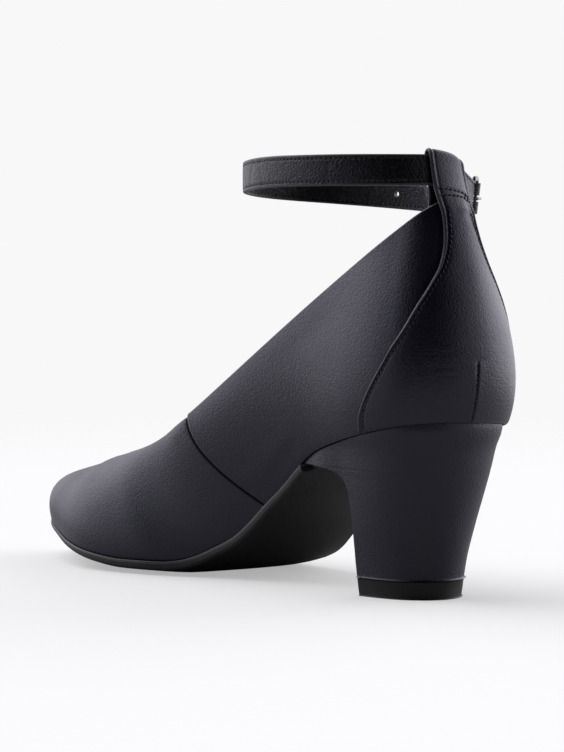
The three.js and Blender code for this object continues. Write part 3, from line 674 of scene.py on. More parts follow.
def plate(name, u, edge, profile, materials, rowKinds=None, thinning=0):
    # profile rows: (inset in mm, share of the way to the middle, depth at the edge, depth at the middle)
    rows = []
    fan = shoe["length"] - soleSize["toeFan"]
    for inset, share, atEdge, atMiddle in profile:
        near = footEdge(u, edge(u) - inset)
        far = footEdge(2 - u, edge(2 - u) - inset)
        middle = (near + far) / 2
        middle[:, 0] = np.minimum(middle[:, 0], fan)
        plan = near + (middle - near) * share
        side = 1 - share
        at = lambda x: bedHeight(x, plan[:, 1], side)
        slope = at(plan[:, 0] + 0.5) - at(plan[:, 0] - 0.5)
        up = unit(stack(-slope, np.zeros_like(slope), np.ones_like(slope)))
        depth = np.full((len(plan), 1), atEdge * side**2 + atMiddle * (1 - side**2))
        if thinning:  # the part below the bed shrinks towards the toe
            shrink = thinning / soleSize["thickness"] * toeShare(plan[:, :1])
            depth = depth * np.where(depth < 0, 1 - shrink, 1)
        rows.append(stack(plan[:, 0], plan[:, 1], at(plan[:, 0])) + up * depth)
    points = np.array(rows)
    count, columns = points.shape[:2]
    faces = [tuple(f) for f in gridFaces(count, columns)]
    faces.append(tuple(r * columns for r in range(count)))
    faces.append(tuple(r * columns + columns - 1 for r in range(count)))
    kinds = None if rowKinds is None else np.concatenate([np.repeat(rowKinds[:-1], columns - 1), [0, 0]])
    return newPiece(name, points, faces, materials, kinds)


def outlineStations(rear, count):  # both sides, from the rear round the toe
    start = stationAt(lengthShare(rear))
    half = np.linspace(start, 1, count)
    return np.concatenate([half, 2 - half[:-1][::-1]])


def edgeProfile(top, bottomEdge, bottomMiddle, upperRound, lowerRound):
    rows = [(0, s, top, top) for s in (1, 0.8, 0.6, 0.4, 0.22, 0.1)]
    rows += [
        (upperRound * (1 - math.sin(a)), 0, top - upperRound * (1 - math.cos(a)), top)
        for a in np.radians(np.linspace(0, 90, 4))
    ]
    rows += [(0, 0, top + (bottomEdge - top) * s, top) for s in (0.3, 0.5)]
    rows += [
        (lowerRound * (1 - math.cos(a)), 0, bottomEdge + lowerRound * (1 - math.sin(a)), bottomMiddle)
        for a in np.radians(np.linspace(0, 90, 8))
    ]
    rows += [(lowerRound, s, bottomEdge, bottomMiddle) for s in (0.04, 0.1, 0.2, 0.35, 0.5, 0.7, 0.85, 1)]
    return rows


def buildOutsole():
    u = outlineStations(soleSize["rear"], 260)
    bottom = -soleSize["thickness"]
    edge = bottom + soleSize["edgeThinning"]
    profile = edgeProfile(0, edge, bottom, soleSize["upperRound"], soleSize["lowerRound"])
    first, last = soleSize["litRows"]
    # painted highlight: these rows of the sole's upper edge take the lighter edge finish
    rim = [1 if first <= row <= last else 0 for row in range(len(profile))]
    thinning = soleSize["toeThinning"]
    return plate("sole_unit", u, soleOffset, profile, [rubber, edgeHighlight], rim, thinning)


def buildInsole():
    u = outlineStations(0.6, 220)
    base = fitGap
    profile = edgeProfile(base + insoleSize["thickness"], base, base, insoleSize["round"], 0.2)
    return plate("sock_lining", u, lambda at: np.full_like(at, -insoleSize["inset"]), profile, [lining])


outsole = buildOutsole()
sharpen(outsole, 45)
place(outsole, "sole_rubber", "outsole")
insole = buildInsole()
sharpen(insole, 45)
place(insole, "lining_leather", "insole")
print("sole ready")


# The heel: a lofted block cut by the foot bed and the sole, on its top piece
heelSize = {
    "topPiece": 6.3,
    "hollow": 1.2,
    "straight": 16,  # percent of length
    "wrap": 0.7,  # rounding where the leather turns under the block
    "columns": 66,
    "wingColumns": 24,
    "breast": 16,
    "liftRound": 0.5,
    "liftTopRound": 0.25,
}


def heelRing(z, inset=0.0):
    at = 100 * z / shoe["seatHeight"]
    back, front = lengthShare(along(heelLevels, 1, at)), lengthShare(along(heelLevels, 4, at))
    lengthways, across = along(heelLevels, 2, at), along(heelLevels, 3, at)
    seatBack = footPlan(np.array(0.0))[0]
    straight = lengthShare(heelSize["straight"])
    t = np.linspace(0, 1, heelSize["columns"])
    t = np.concatenate([t * t * (1.6 - 0.6 * t), np.linspace(1, 2, heelSize["wingColumns"] + 1)[1:]])
    x = np.where(t <= 1, back + (straight - back) * t, straight + (front - straight) * (t - 1))
    u = stationAt(np.minimum(seatBack + (x - back) / lengthways, lengthShare(30)))
    wing = smooth(x, lengthShare(17.5), lengthShare(24))
    share = (across + (1 - across) * wing) * np.where(t == 0, 0, 1)
    inside = stack(x, footPlan(u)[:, 1] * share)
    outside = stack(x, footPlan(2 - u)[:, 1] * share)
    k = np.linspace(0, 1, heelSize["breast"] + 1)[1:-1, None]
    hollow = inside[-1] * (1 - k) + outside[-1] * k
    hollow[:, 0] -= heelSize["hollow"] * np.sin(np.pi * k[:, 0])
    loop = np.concatenate([inside, hollow, outside[1:][::-1]])
    if inset:
        step = unit(np.roll(loop, -1, 0) - np.roll(loop, 1, 0))
        loop = loop + stack(step[:, 1], -step[:, 0]) * -inset
    return np.concatenate([loop, np.full((len(loop), 1), z)], 1)


def loft(name, rings, materials):
    points = np.array(rings)
    rows, columns = points.shape[:2]
    faces = [tuple(f) for f in gridFaces(rows, columns, closeColumns=True)]
    faces += loopCaps(rows, columns)
    return newPiece(name, points, faces, materials)


def bedLid():  # everything above the foot bed
    x = np.linspace(lengthShare(-6), lengthShare(38), 90)
    y = np.linspace(-widthShare(52), widthShare(52), 3)
    x, y = np.meshgrid(x, y, indexing="ij")
    low = stack(x, y, bedHeight(x, y, 0))
    high = stack(x, y, np.full_like(x, seatShare(175)))
    rows, columns = x.shape
    count = rows * columns
    grid = gridFaces(rows, columns)
    faces = [tuple(f) for f in grid] + [tuple(f + count) for f in grid]
    border = [r * columns for r in range(rows)] + [(rows - 1) * columns + c for c in range(1, columns)]
    border += [r * columns + columns - 1 for r in range(rows - 2, -1, -1)]
    border += list(range(columns - 2, 0, -1))
    faces += [(a, b, b + count, a + count) for a, b in zip(border, border[1:] + border[:1])]
    return newPiece("bed_lid", np.concatenate([low.reshape(-1, 3), high.reshape(-1, 3)]), faces, [navy])


def soleTool():  # the sole with its gap
    u = outlineStations(soleSize["rear"] - 0.15, 120)
    bottom = -soleSize["thickness"] - fitGap
    profile = edgeProfile(fitGap, bottom + soleSize["edgeThinning"], bottom, 0.05, 1.0)
    edge = lambda at: soleOffset(at) + fitGap
    return plate("sole_tool", u, edge, profile, [navy], thinning=soleSize["toeThinning"])


def buildHeel():
    base = heelSize["topPiece"] + fitGap
    wrap = heelSize["wrap"]
    turn = np.radians(np.linspace(0, 75, 6))
    low = [heelRing(base + wrap * (1 - math.cos(a)), wrap * (1 - math.sin(a))) for a in turn]
    levels = np.concatenate([
        np.linspace(base + wrap, seatShare(58), 26),
        np.linspace(seatShare(58), seatShare(68), 14)[1:],
        np.linspace(seatShare(68), seatShare(75), 30)[1:],
        np.linspace(seatShare(75), seatShare(110), 34)[1:],
    ])
    piece = loft("heel_cover", low + [heelRing(z) for z in levels], [navy])
    cut(piece, bedLid())
    cut(piece, soleTool())
    return piece


def buildTopPiece():
    height, edge, rim = heelSize["topPiece"], heelSize["liftRound"], heelSize["liftTopRound"]
    turn = np.radians(np.linspace(0, 90, 6))
    low = [heelRing(edge * (1 - math.sin(a)), edge * (1 - math.cos(a))) for a in turn[::-1]]
    high = [heelRing(height - rim * (1 - math.sin(a)), rim * (1 - math.cos(a))) for a in turn]
    return loft("top_lift", low + high, [rubber])


heel = buildHeel()
sharpen(heel, 32)
place(heel, "upper_leather", "heel_block")
topPiece = buildTopPiece()
sharpen(topPiece, 40)
place(topPiece, "sole_rubber", "top_piece")
print("heel ready")


# The ankle strap and the counter that holds it
strapSize = {
    "height": 11,
    "thickness": 2,
    "round": 0.5,
    "tipSlant": 5,
    "hole": 2.2,
    "holeAngle": 251,
    "start": -33,
    "tip": 266,
    "bore": 1.25,
    "eyeWall": 1.3,
    "slot": 2.2,
    "crown": 0.1,
    "rowInset": 1.45,
    "rowDepth": 0.2,
    "rowSpread": 0.38,
    "rowStart": 4,  # from the buckle end
    "hidden": 13.5,  # degrees on each side inside the tunnel
    "tipRow": 1.9,  # from the tip
    "tipRowSpan": 0.8,
}
loop = {"centre": 59, "halfLength": 47, "halfWidth": 35}
counterSize = {
    "thickness": 1.2,
    "clearance": 0.5,
    "topEase": 1.1,
    "flare": 0.7,
    "tabHalfWidth": 7.6,
    "tabInside": 7.4,
    "tabDrop": 9,
    "tabStart": -7.4,
    "ridges": [(0.85, 0.4, 0.22), (1.65, 0.4, -0.5), (2.45, 0.5, -0.12)],  # from the edge, spread, height
    "rowInset": 2.45,
    "rowLevels": (0.012, 0.985),
    "tabRow": 1.028,
    "tabRowEnds": (0.95, -0.93),
    "lowRow": 0.3,  # share of the way from the tab to the panel
    "lowRowEnds": (0.86, -0.8),
    "dart": 0.0145,  # station
    "dartTop": 0.3,
    "dartPitch": 1.6,
}


def strapFrame(angle):
    a = np.radians(angle)
    centre = stack(
        loop["centre"] - loop["halfLength"] * np.cos(a),
        loop["halfWidth"] * np.sin(a),
        backShare(along(strapLie, 1, angle)),
    )
    tangent = unit(stack(loop["halfLength"] * np.sin(a), loop["halfWidth"] * np.cos(a), np.zeros_like(a)))
    inward = stack(tangent[..., 1], -tangent[..., 0], np.zeros_like(a))
    lean = along(strapLie, 2, angle)
    up = unit(np.array([0, 0, 1.0]) + inward * lean[..., None])
    return centre, tangent, up, unit(np.cross(tangent, up))


def strapPoint(angle, high, deep):
    centre, _, up, across = strapFrame(np.asarray(angle, float))
    return centre + up * np.asarray(high, float)[..., None] + across * np.asarray(deep, float)[..., None]


angleTable = np.linspace(-60, 300, 7201)
lengthwise = strapPoint(angleTable, np.zeros_like(angleTable), np.zeros_like(angleTable))[:, :2]
arcTable = np.concatenate([[0], np.cumsum(np.linalg.norm(np.diff(lengthwise, axis=0), axis=1))])


def arcAt(angle):
    return np.interp(angle, angleTable, arcTable)


def angleAt(arc):
    return np.interp(arc, arcTable, angleTable)


def tabPoint(y, high, deep):
    return strapPoint(np.degrees(np.arcsin(y / loop["halfWidth"])), high, deep)


# folds across the strap: distance along it, slant, spread and depth, all in mm
strapFolds = [
    (118, 1.5, 0.9, 0.12), (126, -2, 1.2, 0.14), (133.5, 2.5, 0.8, 0.16), (139, 1, 0.9, 0.12),
    (146, -1.5, 1, 0.16), (153, 2, 0.8, 0.1), (161, -1, 1.1, 0.12), (171, 1.5, 0.9, 0.14),
    (184, -2, 1.3, 0.1), (197, 1, 1, 0.12), (209, 2, 1.2, 0.14), (60, 1.5, 1.2, 0.08), (84, -1, 1.4, 0.1),
]


def strapRelief(arc, high):
    half = strapSize["height"] / 2
    relief = strapSize["crown"] * (1 - (high / half) ** 2)
    fromRow = np.abs(high) - (half - strapSize["rowInset"])
    relief = relief - strapSize["rowDepth"] * dip(fromRow, 0, strapSize["rowSpread"])
    for centre, slant, wide, depth in strapFolds:
        relief = relief - depth * dip(arc - slant * high / half, centre, wide)
    return relief


def tipShift(arc, high):  # how far the slanted end draws a point back
    tip = arcAt(strapSize["tip"]) + strapSize["tipSlant"] / 2
    return strapSize["tipSlant"] * high / strapSize["height"] * smooth(arc, tip - 14, tip)


def strapTool(radius, reach, sides, axis):  # a round bar at the buckle end, or through the strap
    angle = strapSize["start"] if axis == "up" else strapSize["holeAngle"]
    centre, tangent, up, across = strapFrame(np.array(float(angle)))
    a = np.linspace(0, 2 * np.pi, sides, endpoint=False)
    first, second, way = (tangent, across, up) if axis == "up" else (tangent, up, across)
    circle = centre + radius * (np.cos(a)[:, None] * first + np.sin(a)[:, None] * second)
    points = np.concatenate([circle - way * reach / 2, circle + way * reach / 2])
    faces = [tuple(f) for f in gridFaces(2, sides, closeColumns=True)] + loopCaps(2, sides)
    return newPiece("strap_tool", points, faces, [strapLeather])


def slotTool(reach, tall):
    centre, tangent, up, across = strapFrame(np.array(float(strapSize["start"])))
    corners = [centre + tangent * x * reach / 2 + up * z * tall / 2 + across * y * reach / 2
               for z in (-1, 1) for x, y in ((-1, -1), (1, -1), (1, 1), (-1, 1))]
    faces = [(0, 1, 2, 3), (4, 5, 6, 7)] + [(i, (i + 1) % 4, 4 + (i + 1) % 4, 4 + i) for i in range(4)]
    return newPiece("slot_tool", np.array(corners), faces, [strapLeather])


def buildStrap():
    half, thick = strapSize["height"] / 2, strapSize["thickness"]
    start = arcAt(strapSize["start"])
    tip = arcAt(strapSize["tip"]) + strapSize["tipSlant"] / 2
    side = np.array([0, 0.9, 1.8, 2.6, 3.2, 3.5, 3.75, 4.05, 4.35, 4.6, 4.85])
    places = np.concatenate([-side[:0:-1], side])
    section, ends = roundedSection(places, half, thick, strapSize["round"])
    high, deep = section[:, 0], section[:, 1]
    rows = []
    for s in np.linspace(start, tip, 470):
        relief = strapRelief(s, high) * (np.abs(deep) > thick / 2 - 0.01)
        rows.append(strapPoint(angleAt(s - tipShift(s, high)), high, deep + np.sign(deep) * relief))
    points = np.array(rows)
    count, columns = points.shape[:2]
    faces = [tuple(f) for f in gridFaces(count, columns, closeColumns=True)] + loopCaps(count, columns)
    # the round edges take the lighter edge finish, a painted highlight
    kinds = np.concatenate([np.tile(ends, count - 1), [0, 0]])
    band = newPiece("strap_band", points, faces, [strapLeather, edgeHighlight], kinds)
    bore = strapSize["bore"]
    reach = 2 * (bore + strapSize["eyeWall"])
    cut(band, strapTool(reach / 2, strapSize["height"], 40, "up"), "UNION")
    cut(band, strapTool(bore, 3 * strapSize["height"], 32, "up"))
    cut(band, slotTool(reach + 1, strapSize["slot"]))
    cut(band, strapTool(strapSize["hole"] / 2, 12, 24, "through"))
    return band


def counterStand(v):
    return upperSize["lap"] + counterSize["clearance"] + counterSize["topEase"] * v**8


def counterPoint(row, across, depth):
    # row: 0 to 1 up the panel, 1 to 2 up the tab, 2 to 3 over the strap, 3 to 4 down inside
    slack = fitGap + strapSize["thickness"] / 2
    foldAt = strapSize["height"] / 2 - 0.2
    if row <= 1:
        v = 0.95 * row
        edge = along(counterEdge, 1, np.array(v))
        return wallPoint(across * edge, np.full_like(across, v), counterStand(v) + depth)
    y = across * counterSize["tabHalfWidth"]
    r = slack + depth
    if row <= 2:
        t = row - 1
        high = counterSize["tabStart"] + (foldAt - counterSize["tabStart"]) * t
        return tabPoint(y, np.full_like(y, high), -r - counterSize["flare"] * (1 - t) ** 2)
    if row <= 3:
        a = math.pi * (row - 2)
        return tabPoint(y, foldAt + r * math.sin(a), -r * math.cos(a))
    high = foldAt - (foldAt + counterSize["tabInside"]) * (min(row, 4) - 3)
    hung = tabPoint(y, np.full_like(y, high), r)
    hung[..., 2] -= counterSize["tabDrop"] * max(0, row - 4)
    return hung


def halfWidth(row):  # of the counter piece, in mm
    if row > 1:
        return counterSize["tabHalfWidth"]
    edge = float(along(counterEdge, 1, np.array(0.95 * row)))
    side = lastPoint(np.linspace(-edge, edge, 41), np.full(41, 0.95 * row))
    return float(np.linalg.norm(np.diff(side, axis=0), axis=1).sum()) / 2


# folds of the tab's base: across, row, spread of each, height in mm
tabFolds = [
    (-0.55, 1.02, 0.14, 0.05, -0.35), (-0.75, 0.98, 0.1, 0.04, 0.3), (-0.4, 0.965, 0.2, 0.018, -0.25),
    (0.25, 0.985, 0.35, 0.02, -0.22), (0.7, 1.04, 0.2, 0.05, 0.15), (-0.62, 0.93, 0.2, 0.02, -0.15),
    (0.3, 0.72, 0.3, 0.05, -0.12), (0.1, 0.42, 0.2, 0.02, -0.1), (0.35, 0.37, 0.2, 0.015, -0.1),
    (0.2, 0.33, 0.25, 0.015, -0.09), (0.4, 0.3, 0.2, 0.015, -0.09), (0.25, 0.26, 0.2, 0.012, -0.08),
]


def counterRelief(row, across, fromEdge, wide):
    relief = sum(height * dip(fromEdge, centre, spread) for centre, spread, height in counterSize["ridges"])
    relief = relief * (0.4 if row > 1 else 1)
    if row < 1:
        v = np.array(0.95 * row)
        edge = along(counterEdge, 1, v)
        off = (across * edge - counterSize["dart"]) * wide / float(edge)
        span = smooth(v, counterSize["dartTop"] + 0.012, counterSize["dartTop"] - 0.012)
        relief = relief + span * (0.2 * dip(off, 0, 2.2) - 0.85 * dip(off, 0, 0.42))
    else:
        rise = strapSize["height"] / 2 - 0.2 - counterSize["tabStart"]
        relief = relief - 0.28 * dip((row - 1) * rise, 0.35, 0.5) * (row < 2)
    for centre, at, broad, tall, height in tabFolds:
        relief = relief + height * dip(across, centre, broad) * dip(row, at, tall)
    return relief


def buildCounter():
    thick = counterSize["thickness"]
    near = np.array([0.6, 0.8, 1.05, 1.3, 1.5, 1.7, 1.95, 2.3, 2.7, 3.3, 4.2])  # mm from the edge
    fine = np.arange(0.032, 0.095, 0.0035)
    middle = np.concatenate([np.linspace(-1, -0.02, 22)[1:], fine, np.linspace(0.12, 1, 20)[:-1]])
    turn = np.radians(np.linspace(90, -90, 10)[1:-1])
    flat = len(near) * 2 + len(middle)
    levels = np.concatenate([
        np.linspace(0, 0.02, 5), np.linspace(0.02, 1, 118)[1:], np.linspace(1, 1.16, 9)[1:],
        np.linspace(1.16, 2, 14)[1:], np.linspace(2, 3, 16)[1:],
        np.linspace(3, 4, 9)[1:], np.linspace(4, 5, 8)[1:],
    ])
    rows = []
    for row in levels:
        wide = halfWidth(row)
        inside = 1 - near[-1] / wide
        left, right = -1 + near / wide, 1 - near[::-1] / wide
        across = np.concatenate([left, middle * inside, right])
        fromEdge = (1 - np.abs(across)) * wide
        bend = 1 - thick / 2 / wide * (1 - np.cos(turn))
        depth = np.full(flat, thick) + counterRelief(row, across, fromEdge, wide)
        around = np.concatenate([across, bend, across[::-1], -bend])
        over = thick / 2 * np.sin(turn)
        deep = np.concatenate([depth, thick / 2 + over, np.zeros(flat), thick / 2 - over])
        ease = min(smooth(np.array(row), -0.004, 0.012), smooth(np.array(row), 5.05, 4.9))
        deep = thick / 2 + (deep - thick / 2) * (0.35 + 0.65 * float(ease))
        rows.append(counterPoint(row, around, deep))
    points = np.array(rows)
    count, columns = points.shape[:2]
    faces = [tuple(f) for f in gridFaces(count, columns, closeColumns=True)] + loopCaps(count, columns)
    # the round edges take the lighter edge finish, a painted highlight
    ends = np.array(([0] * (flat - 1) + [1] * (len(turn) + 1)) * 2)
    kinds = np.concatenate([np.tile(ends, count - 1), [1, 1]])
    return newPiece("counter_panel", points, faces, [navy, edgeHighlight], kinds)


strap = buildStrap()
sharpen(strap, 45)
place(strap, "upper_leather", "ankle_strap")
counter = buildCounter()
sharpen(counter, 45)
place(counter, "upper_leather", "heel_counter")
print("strap and counter ready")


# Stitches: a Geometry Nodes tree sets a thread bead, and a near black bead of painted shade at the needle
# hole, on each point of a row
stitchSize = {
    "pitch": 1.9,
    "length": 1.5,
    "width": 0.52,
    "height": 0.42,
    "tilt": 6,  # degrees
    "jitter": 4,
    # hole: size of the near black bead of painted shade at each needle hole
    "hole": 0.62,
    "seed": 7,
}


def beads(tree, points, segments, rings, turn, scale, material):  # a turned, stretched ball on each point
    link = tree.links.new
    ball = addNode(tree, "GeometryNodeMeshUVSphere", {"Segments": segments, "Rings": rings, "Radius": 0.5})
    copies = addNode(tree, "GeometryNodeInstanceOnPoints")
    link(points.outputs["Geometry"], copies.inputs["Points"])
    link(ball.outputs["Mesh"], copies.inputs["Instance"])
    link(turn.outputs["Rotation"], copies.inputs["Rotation"])
    link(scale.outputs["Vector"], copies.inputs["Scale"])
    soft = addNode(tree, "GeometryNodeSetShadeSmooth")
    real = addNode(tree, "GeometryNodeRealizeInstances")
    finish = addNode(tree, "GeometryNodeSetMaterial")
    link(copies.outputs["Instances"], real.inputs["Geometry"])
    link(real.outputs["Geometry"], soft.inputs["Geometry"])
    link(soft.outputs["Geometry"], finish.inputs["Geometry"])
    finish.inputs["Material"].default_value = material
    return finish.outputs["Geometry"]


def buildStitchTree():
    tree = bpy.data.node_groups.new("stitchRow", "GeometryNodeTree")
    tree.is_modifier = True
    tree.interface.new_socket("Geometry", in_out="INPUT", socket_type="NodeSocketGeometry")
    for label in ("Length", "Width", "Height", "Tilt", "Jitter", "Hole", "Pitch"):
        tree.interface.new_socket(label, in_out="INPUT", socket_type="NodeSocketFloat")
    tree.interface.new_socket("Seed", in_out="INPUT", socket_type="NodeSocketInt")
    tree.interface.new_socket("Geometry", in_out="OUTPUT", socket_type="NodeSocketGeometry")
    link = tree.links.new
    given, result = tree.nodes.new("NodeGroupInput"), tree.nodes.new("NodeGroupOutput")
    along3 = addNode(tree, "GeometryNodeInputNamedAttribute", data_type="FLOAT_VECTOR")
    along3.inputs["Name"].default_value = "along"
    out3 = addNode(tree, "GeometryNodeInputNamedAttribute", data_type="FLOAT_VECTOR")
    out3.inputs["Name"].default_value = "out"
    lie = addNode(tree, "FunctionNodeAlignRotationToVector", axis="X")
    link(along3.outputs["Attribute"], lie.inputs["Vector"])
    stand = addNode(tree, "FunctionNodeAlignRotationToVector", axis="Z", pivot_axis="X")
    link(lie.outputs["Rotation"], stand.inputs["Rotation"])
    link(out3.outputs["Attribute"], stand.inputs["Vector"])
    chance = addNode(tree, "FunctionNodeRandomValue", data_type="FLOAT")
    link(mathNode(tree, "MULTIPLY", given.outputs["Jitter"], -1), chance.inputs[2])
    link(given.outputs["Jitter"], chance.inputs[3])
    link(given.outputs["Seed"], chance.inputs["Seed"])
    swing = addNode(tree, "FunctionNodeAxisAngleToRotation")
    swing.inputs["Axis"].default_value = (0, 0, 1)
    link(mathNode(tree, "ADD", given.outputs["Tilt"], chance.outputs[1]), swing.inputs["Angle"])
    turned = addNode(tree, "FunctionNodeRotateRotation", rotation_space="LOCAL")
    link(stand.outputs["Rotation"], turned.inputs["Rotation"])
    link(swing.outputs["Rotation"], turned.inputs["Rotate By"])
    size = addNode(tree, "ShaderNodeCombineXYZ")
    for socket, label in zip(size.inputs, ("Length", "Width", "Height")):
        link(given.outputs[label], socket)
    step = addNode(tree, "ShaderNodeVectorMath", operation="SCALE")
    link(along3.outputs["Attribute"], step.inputs[0])
    link(mathNode(tree, "MULTIPLY", given.outputs["Pitch"], 0.5), step.inputs["Scale"])
    moved = addNode(tree, "GeometryNodeSetPosition")
    link(given.outputs["Geometry"], moved.inputs["Geometry"])
    link(step.outputs["Vector"], moved.inputs["Offset"])
    # painted shade: a flat near black bead half a pitch along, at the needle hole
    holeShadeSize = addNode(tree, "ShaderNodeCombineXYZ")
    link(given.outputs["Hole"], holeShadeSize.inputs[0])
    link(given.outputs["Hole"], holeShadeSize.inputs[1])
    link(mathNode(tree, "MULTIPLY", given.outputs["Height"], 0.62), holeShadeSize.inputs[2])
    both = addNode(tree, "GeometryNodeJoinGeometry")
    for points, segments, rings, turn, scale, material in (
        (given, 8, 6, turned, size, thread),
        (moved, 6, 4, stand, holeShadeSize, needleHoleShade),
    ):
        link(beads(tree, points, segments, rings, turn, scale, material), both.inputs[0])
    link(both.outputs["Geometry"], result.inputs["Geometry"])
    return tree


stitchTree = buildStitchTree()


def stitchRow(path, out, pitch=None):  # places, directions and outward normals at even steps along a path
    pitch = pitch or stitchSize["pitch"]
    step = np.linalg.norm(np.diff(path, axis=0), axis=1)
    arc = np.concatenate([[0], np.cumsum(step)])
    count = max(2, round(arc[-1] / pitch))
    at = (np.arange(count) + 0.5) * arc[-1] / count
    pick = lambda values, where: stack(*[np.interp(where, arc, values[:, k]) for k in range(3)])
    way = unit(pick(path, at + 0.2) - pick(path, at - 0.2))
    return pick(path, at), way, unit(pick(out, at))


def sewn(name, rows, **changes):  # all rows of a piece in one mesh
    places, ways, outs = (np.concatenate([row[k] for row in rows]) for k in range(3))
    places = places.copy()
    places[:, 0] -= originX
    mesh = bpy.data.meshes.new(name)
    mesh.from_pydata((places / 1000).tolist(), [], [])
    for label, values in (("along", ways), ("out", outs)):
        mesh.attributes.new(label, "FLOAT_VECTOR", "POINT").data.foreach_set("vector", values.ravel())
    piece = bpy.data.objects.new(name, mesh)
    bpy.context.scene.collection.objects.link(piece)
    step = piece.modifiers.new("stitches", "NODES")
    step.node_group = stitchTree
    sizes = {**stitchSize, **changes}
    values = {label.title(): sizes[label] / 1000 for label in ("length", "width", "height", "hole", "pitch")}
    values |= {label.title(): math.radians(sizes[label]) for label in ("tilt", "jitter")}
    values["Seed"] = sizes["seed"]
    for socket in stitchTree.interface.items_tree:
        if socket.in_out == "INPUT" and socket.name in values:
            step[socket.identifier] = values[socket.name]
    bpy.context.view_layer.update()
    applied(piece)
    place(piece, "upper_leather")


def strapRow(first, last, high, face, sink=0.12):  # face -1 outside, 1 inside the loop
    arcs = np.linspace(first, last, 400)
    high = np.broadcast_to(np.asarray(high, float), arcs.shape)
    angles = angleAt(arcs - tipShift(arcs, high))
    across = strapFrame(angles)[3]
    deep = np.full_like(arcs, face * (strapSize["thickness"] / 2 - sink))
    return strapPoint(angles, high, deep), across * face


def strapRows():
    edge = strapSize["height"] / 2 - strapSize["rowInset"]
    start, hidden = arcAt(strapSize["start"]) + strapSize["rowStart"], arcAt(-strapSize["hidden"])
    shown = arcAt(strapSize["hidden"])
    end = arcAt(strapSize["tip"]) + strapSize["tipSlant"] / 2 - strapSize["tipRow"]
    rows = []
    for face in (-1, 1):
        for high in (-edge, edge):
            rows.append(stitchRow(*strapRow(start, hidden, high, face)))
            rows.append(stitchRow(*strapRow(shown, end, high, face)))
        across = np.linspace(-edge, edge, 400) * strapSize["tipRowSpan"]
        rows.append(stitchRow(*strapRow(end, end, across, face)))
    return rows


def counterSurface(row, across, sink=0.12):  # a point on the panel's outside and its outward direction
    row, across = np.broadcast_arrays(np.asarray(row, float), np.asarray(across, float))
    thick = counterSize["thickness"] - sink
    at = lambda r, a, deep: np.array([counterPoint(float(x), np.array([y]), deep)[0] for x, y in zip(r, a)])
    return at(row, across, thick), unit(at(row, across, thick + 0.5) - at(row, across, thick))


def counterRows():
    rows = []
    for side in (-1, 1):
        levels = np.linspace(*counterSize["rowLevels"], 150)
        inset = np.array([1 - counterSize["rowInset"] / halfWidth(row) for row in levels])
        path, out = counterSurface(levels, side * inset, 0.16)
        rows.append(stitchRow(path[::side], out[::side]))
    ends = counterSize["tabRowEnds"]
    rows.append(stitchRow(*counterSurface(np.full(60, counterSize["tabRow"]), np.linspace(*ends, 60), 0.2)))
    across = np.linspace(*counterSize["lowRowEnds"], 40)
    high, low = (counterSurface(np.full(40, row), across, 0.15) for row in (1.02, 1.0))
    rows.append(stitchRow(high[0] + (low[0] - high[0]) * counterSize["lowRow"], high[1]))
    levels = np.linspace(counterSize["rowLevels"][0], counterSize["dartTop"], 60)
    dart = counterSize["dart"] / along(counterEdge, 1, 0.95 * levels)
    rows.append(stitchRow(*counterSurface(levels, dart, 0.4), pitch=counterSize["dartPitch"]))
    return rows


counterStitch = {"seed": 11, "length": 1.75, "width": 0.62, "height": 0.5, "tilt": 24, "hole": 0.72}
sewn("strap_stitches", strapRows())
sewn("counter_stitches", counterRows(), **counterStitch)
print("stitches ready")


# The buckle: a squared frame and its prong
buckleSize = {
    "height": 15.6,
    "length": 13,
    "wire": 1.9,
    "flat": 0.72,
    "corner": 2.2,
    "barCorner": 0.9,
    "prong": 1.3,
    "prongRise": 0.28,
    "prongTip": 0.72,
    "sides": 20,
}


def frameAt(x, y, z):  # a place in the strap's own directions at the buckle end
    centre, tangent, up, across = strapFrame(np.array(float(strapSize["start"])))
    ways = zip((x, y, z), (tangent, up, across))
    return centre + sum(np.asarray(far)[..., None] * way for far, way in ways)


def wirePiece(name, path, wide, deep, closed, node):  # an oval wire along a path in x, y, z of the buckle
    path = np.asarray(path, float)
    ahead = np.roll(path, -1, 0) - np.roll(path, 1, 0) if closed else np.gradient(path, axis=0)
    way = unit(ahead)
    side = unit(np.cross(way, np.array([0, 0, 1.0])))
    rise = np.cross(side, way)
    a = np.linspace(0, 2 * np.pi, buckleSize["sides"], endpoint=False)
    wide, deep = np.broadcast_to(wide, len(path)), np.broadcast_to(deep, len(path))
    full = lambda c: np.sign(c) * np.abs(c) ** 0.8  # between a circle and a square
    points = (path[:, None] + side[:, None] * (wide[:, None] / 2 * full(np.cos(a)))[..., None]
              + rise[:, None] * (deep[:, None] / 2 * full(np.sin(a)))[..., None])
    points = frameAt(points[..., 0], points[..., 1], points[..., 2])
    rows, columns = points.shape[:2]
    faces = [tuple(f) for f in gridFaces(rows, columns, closeRows=closed, closeColumns=True)]
    if not closed:
        faces += loopCaps(rows, columns)
    place(newPiece(name, points, faces, [gunmetal]), "buckle_metal", node)


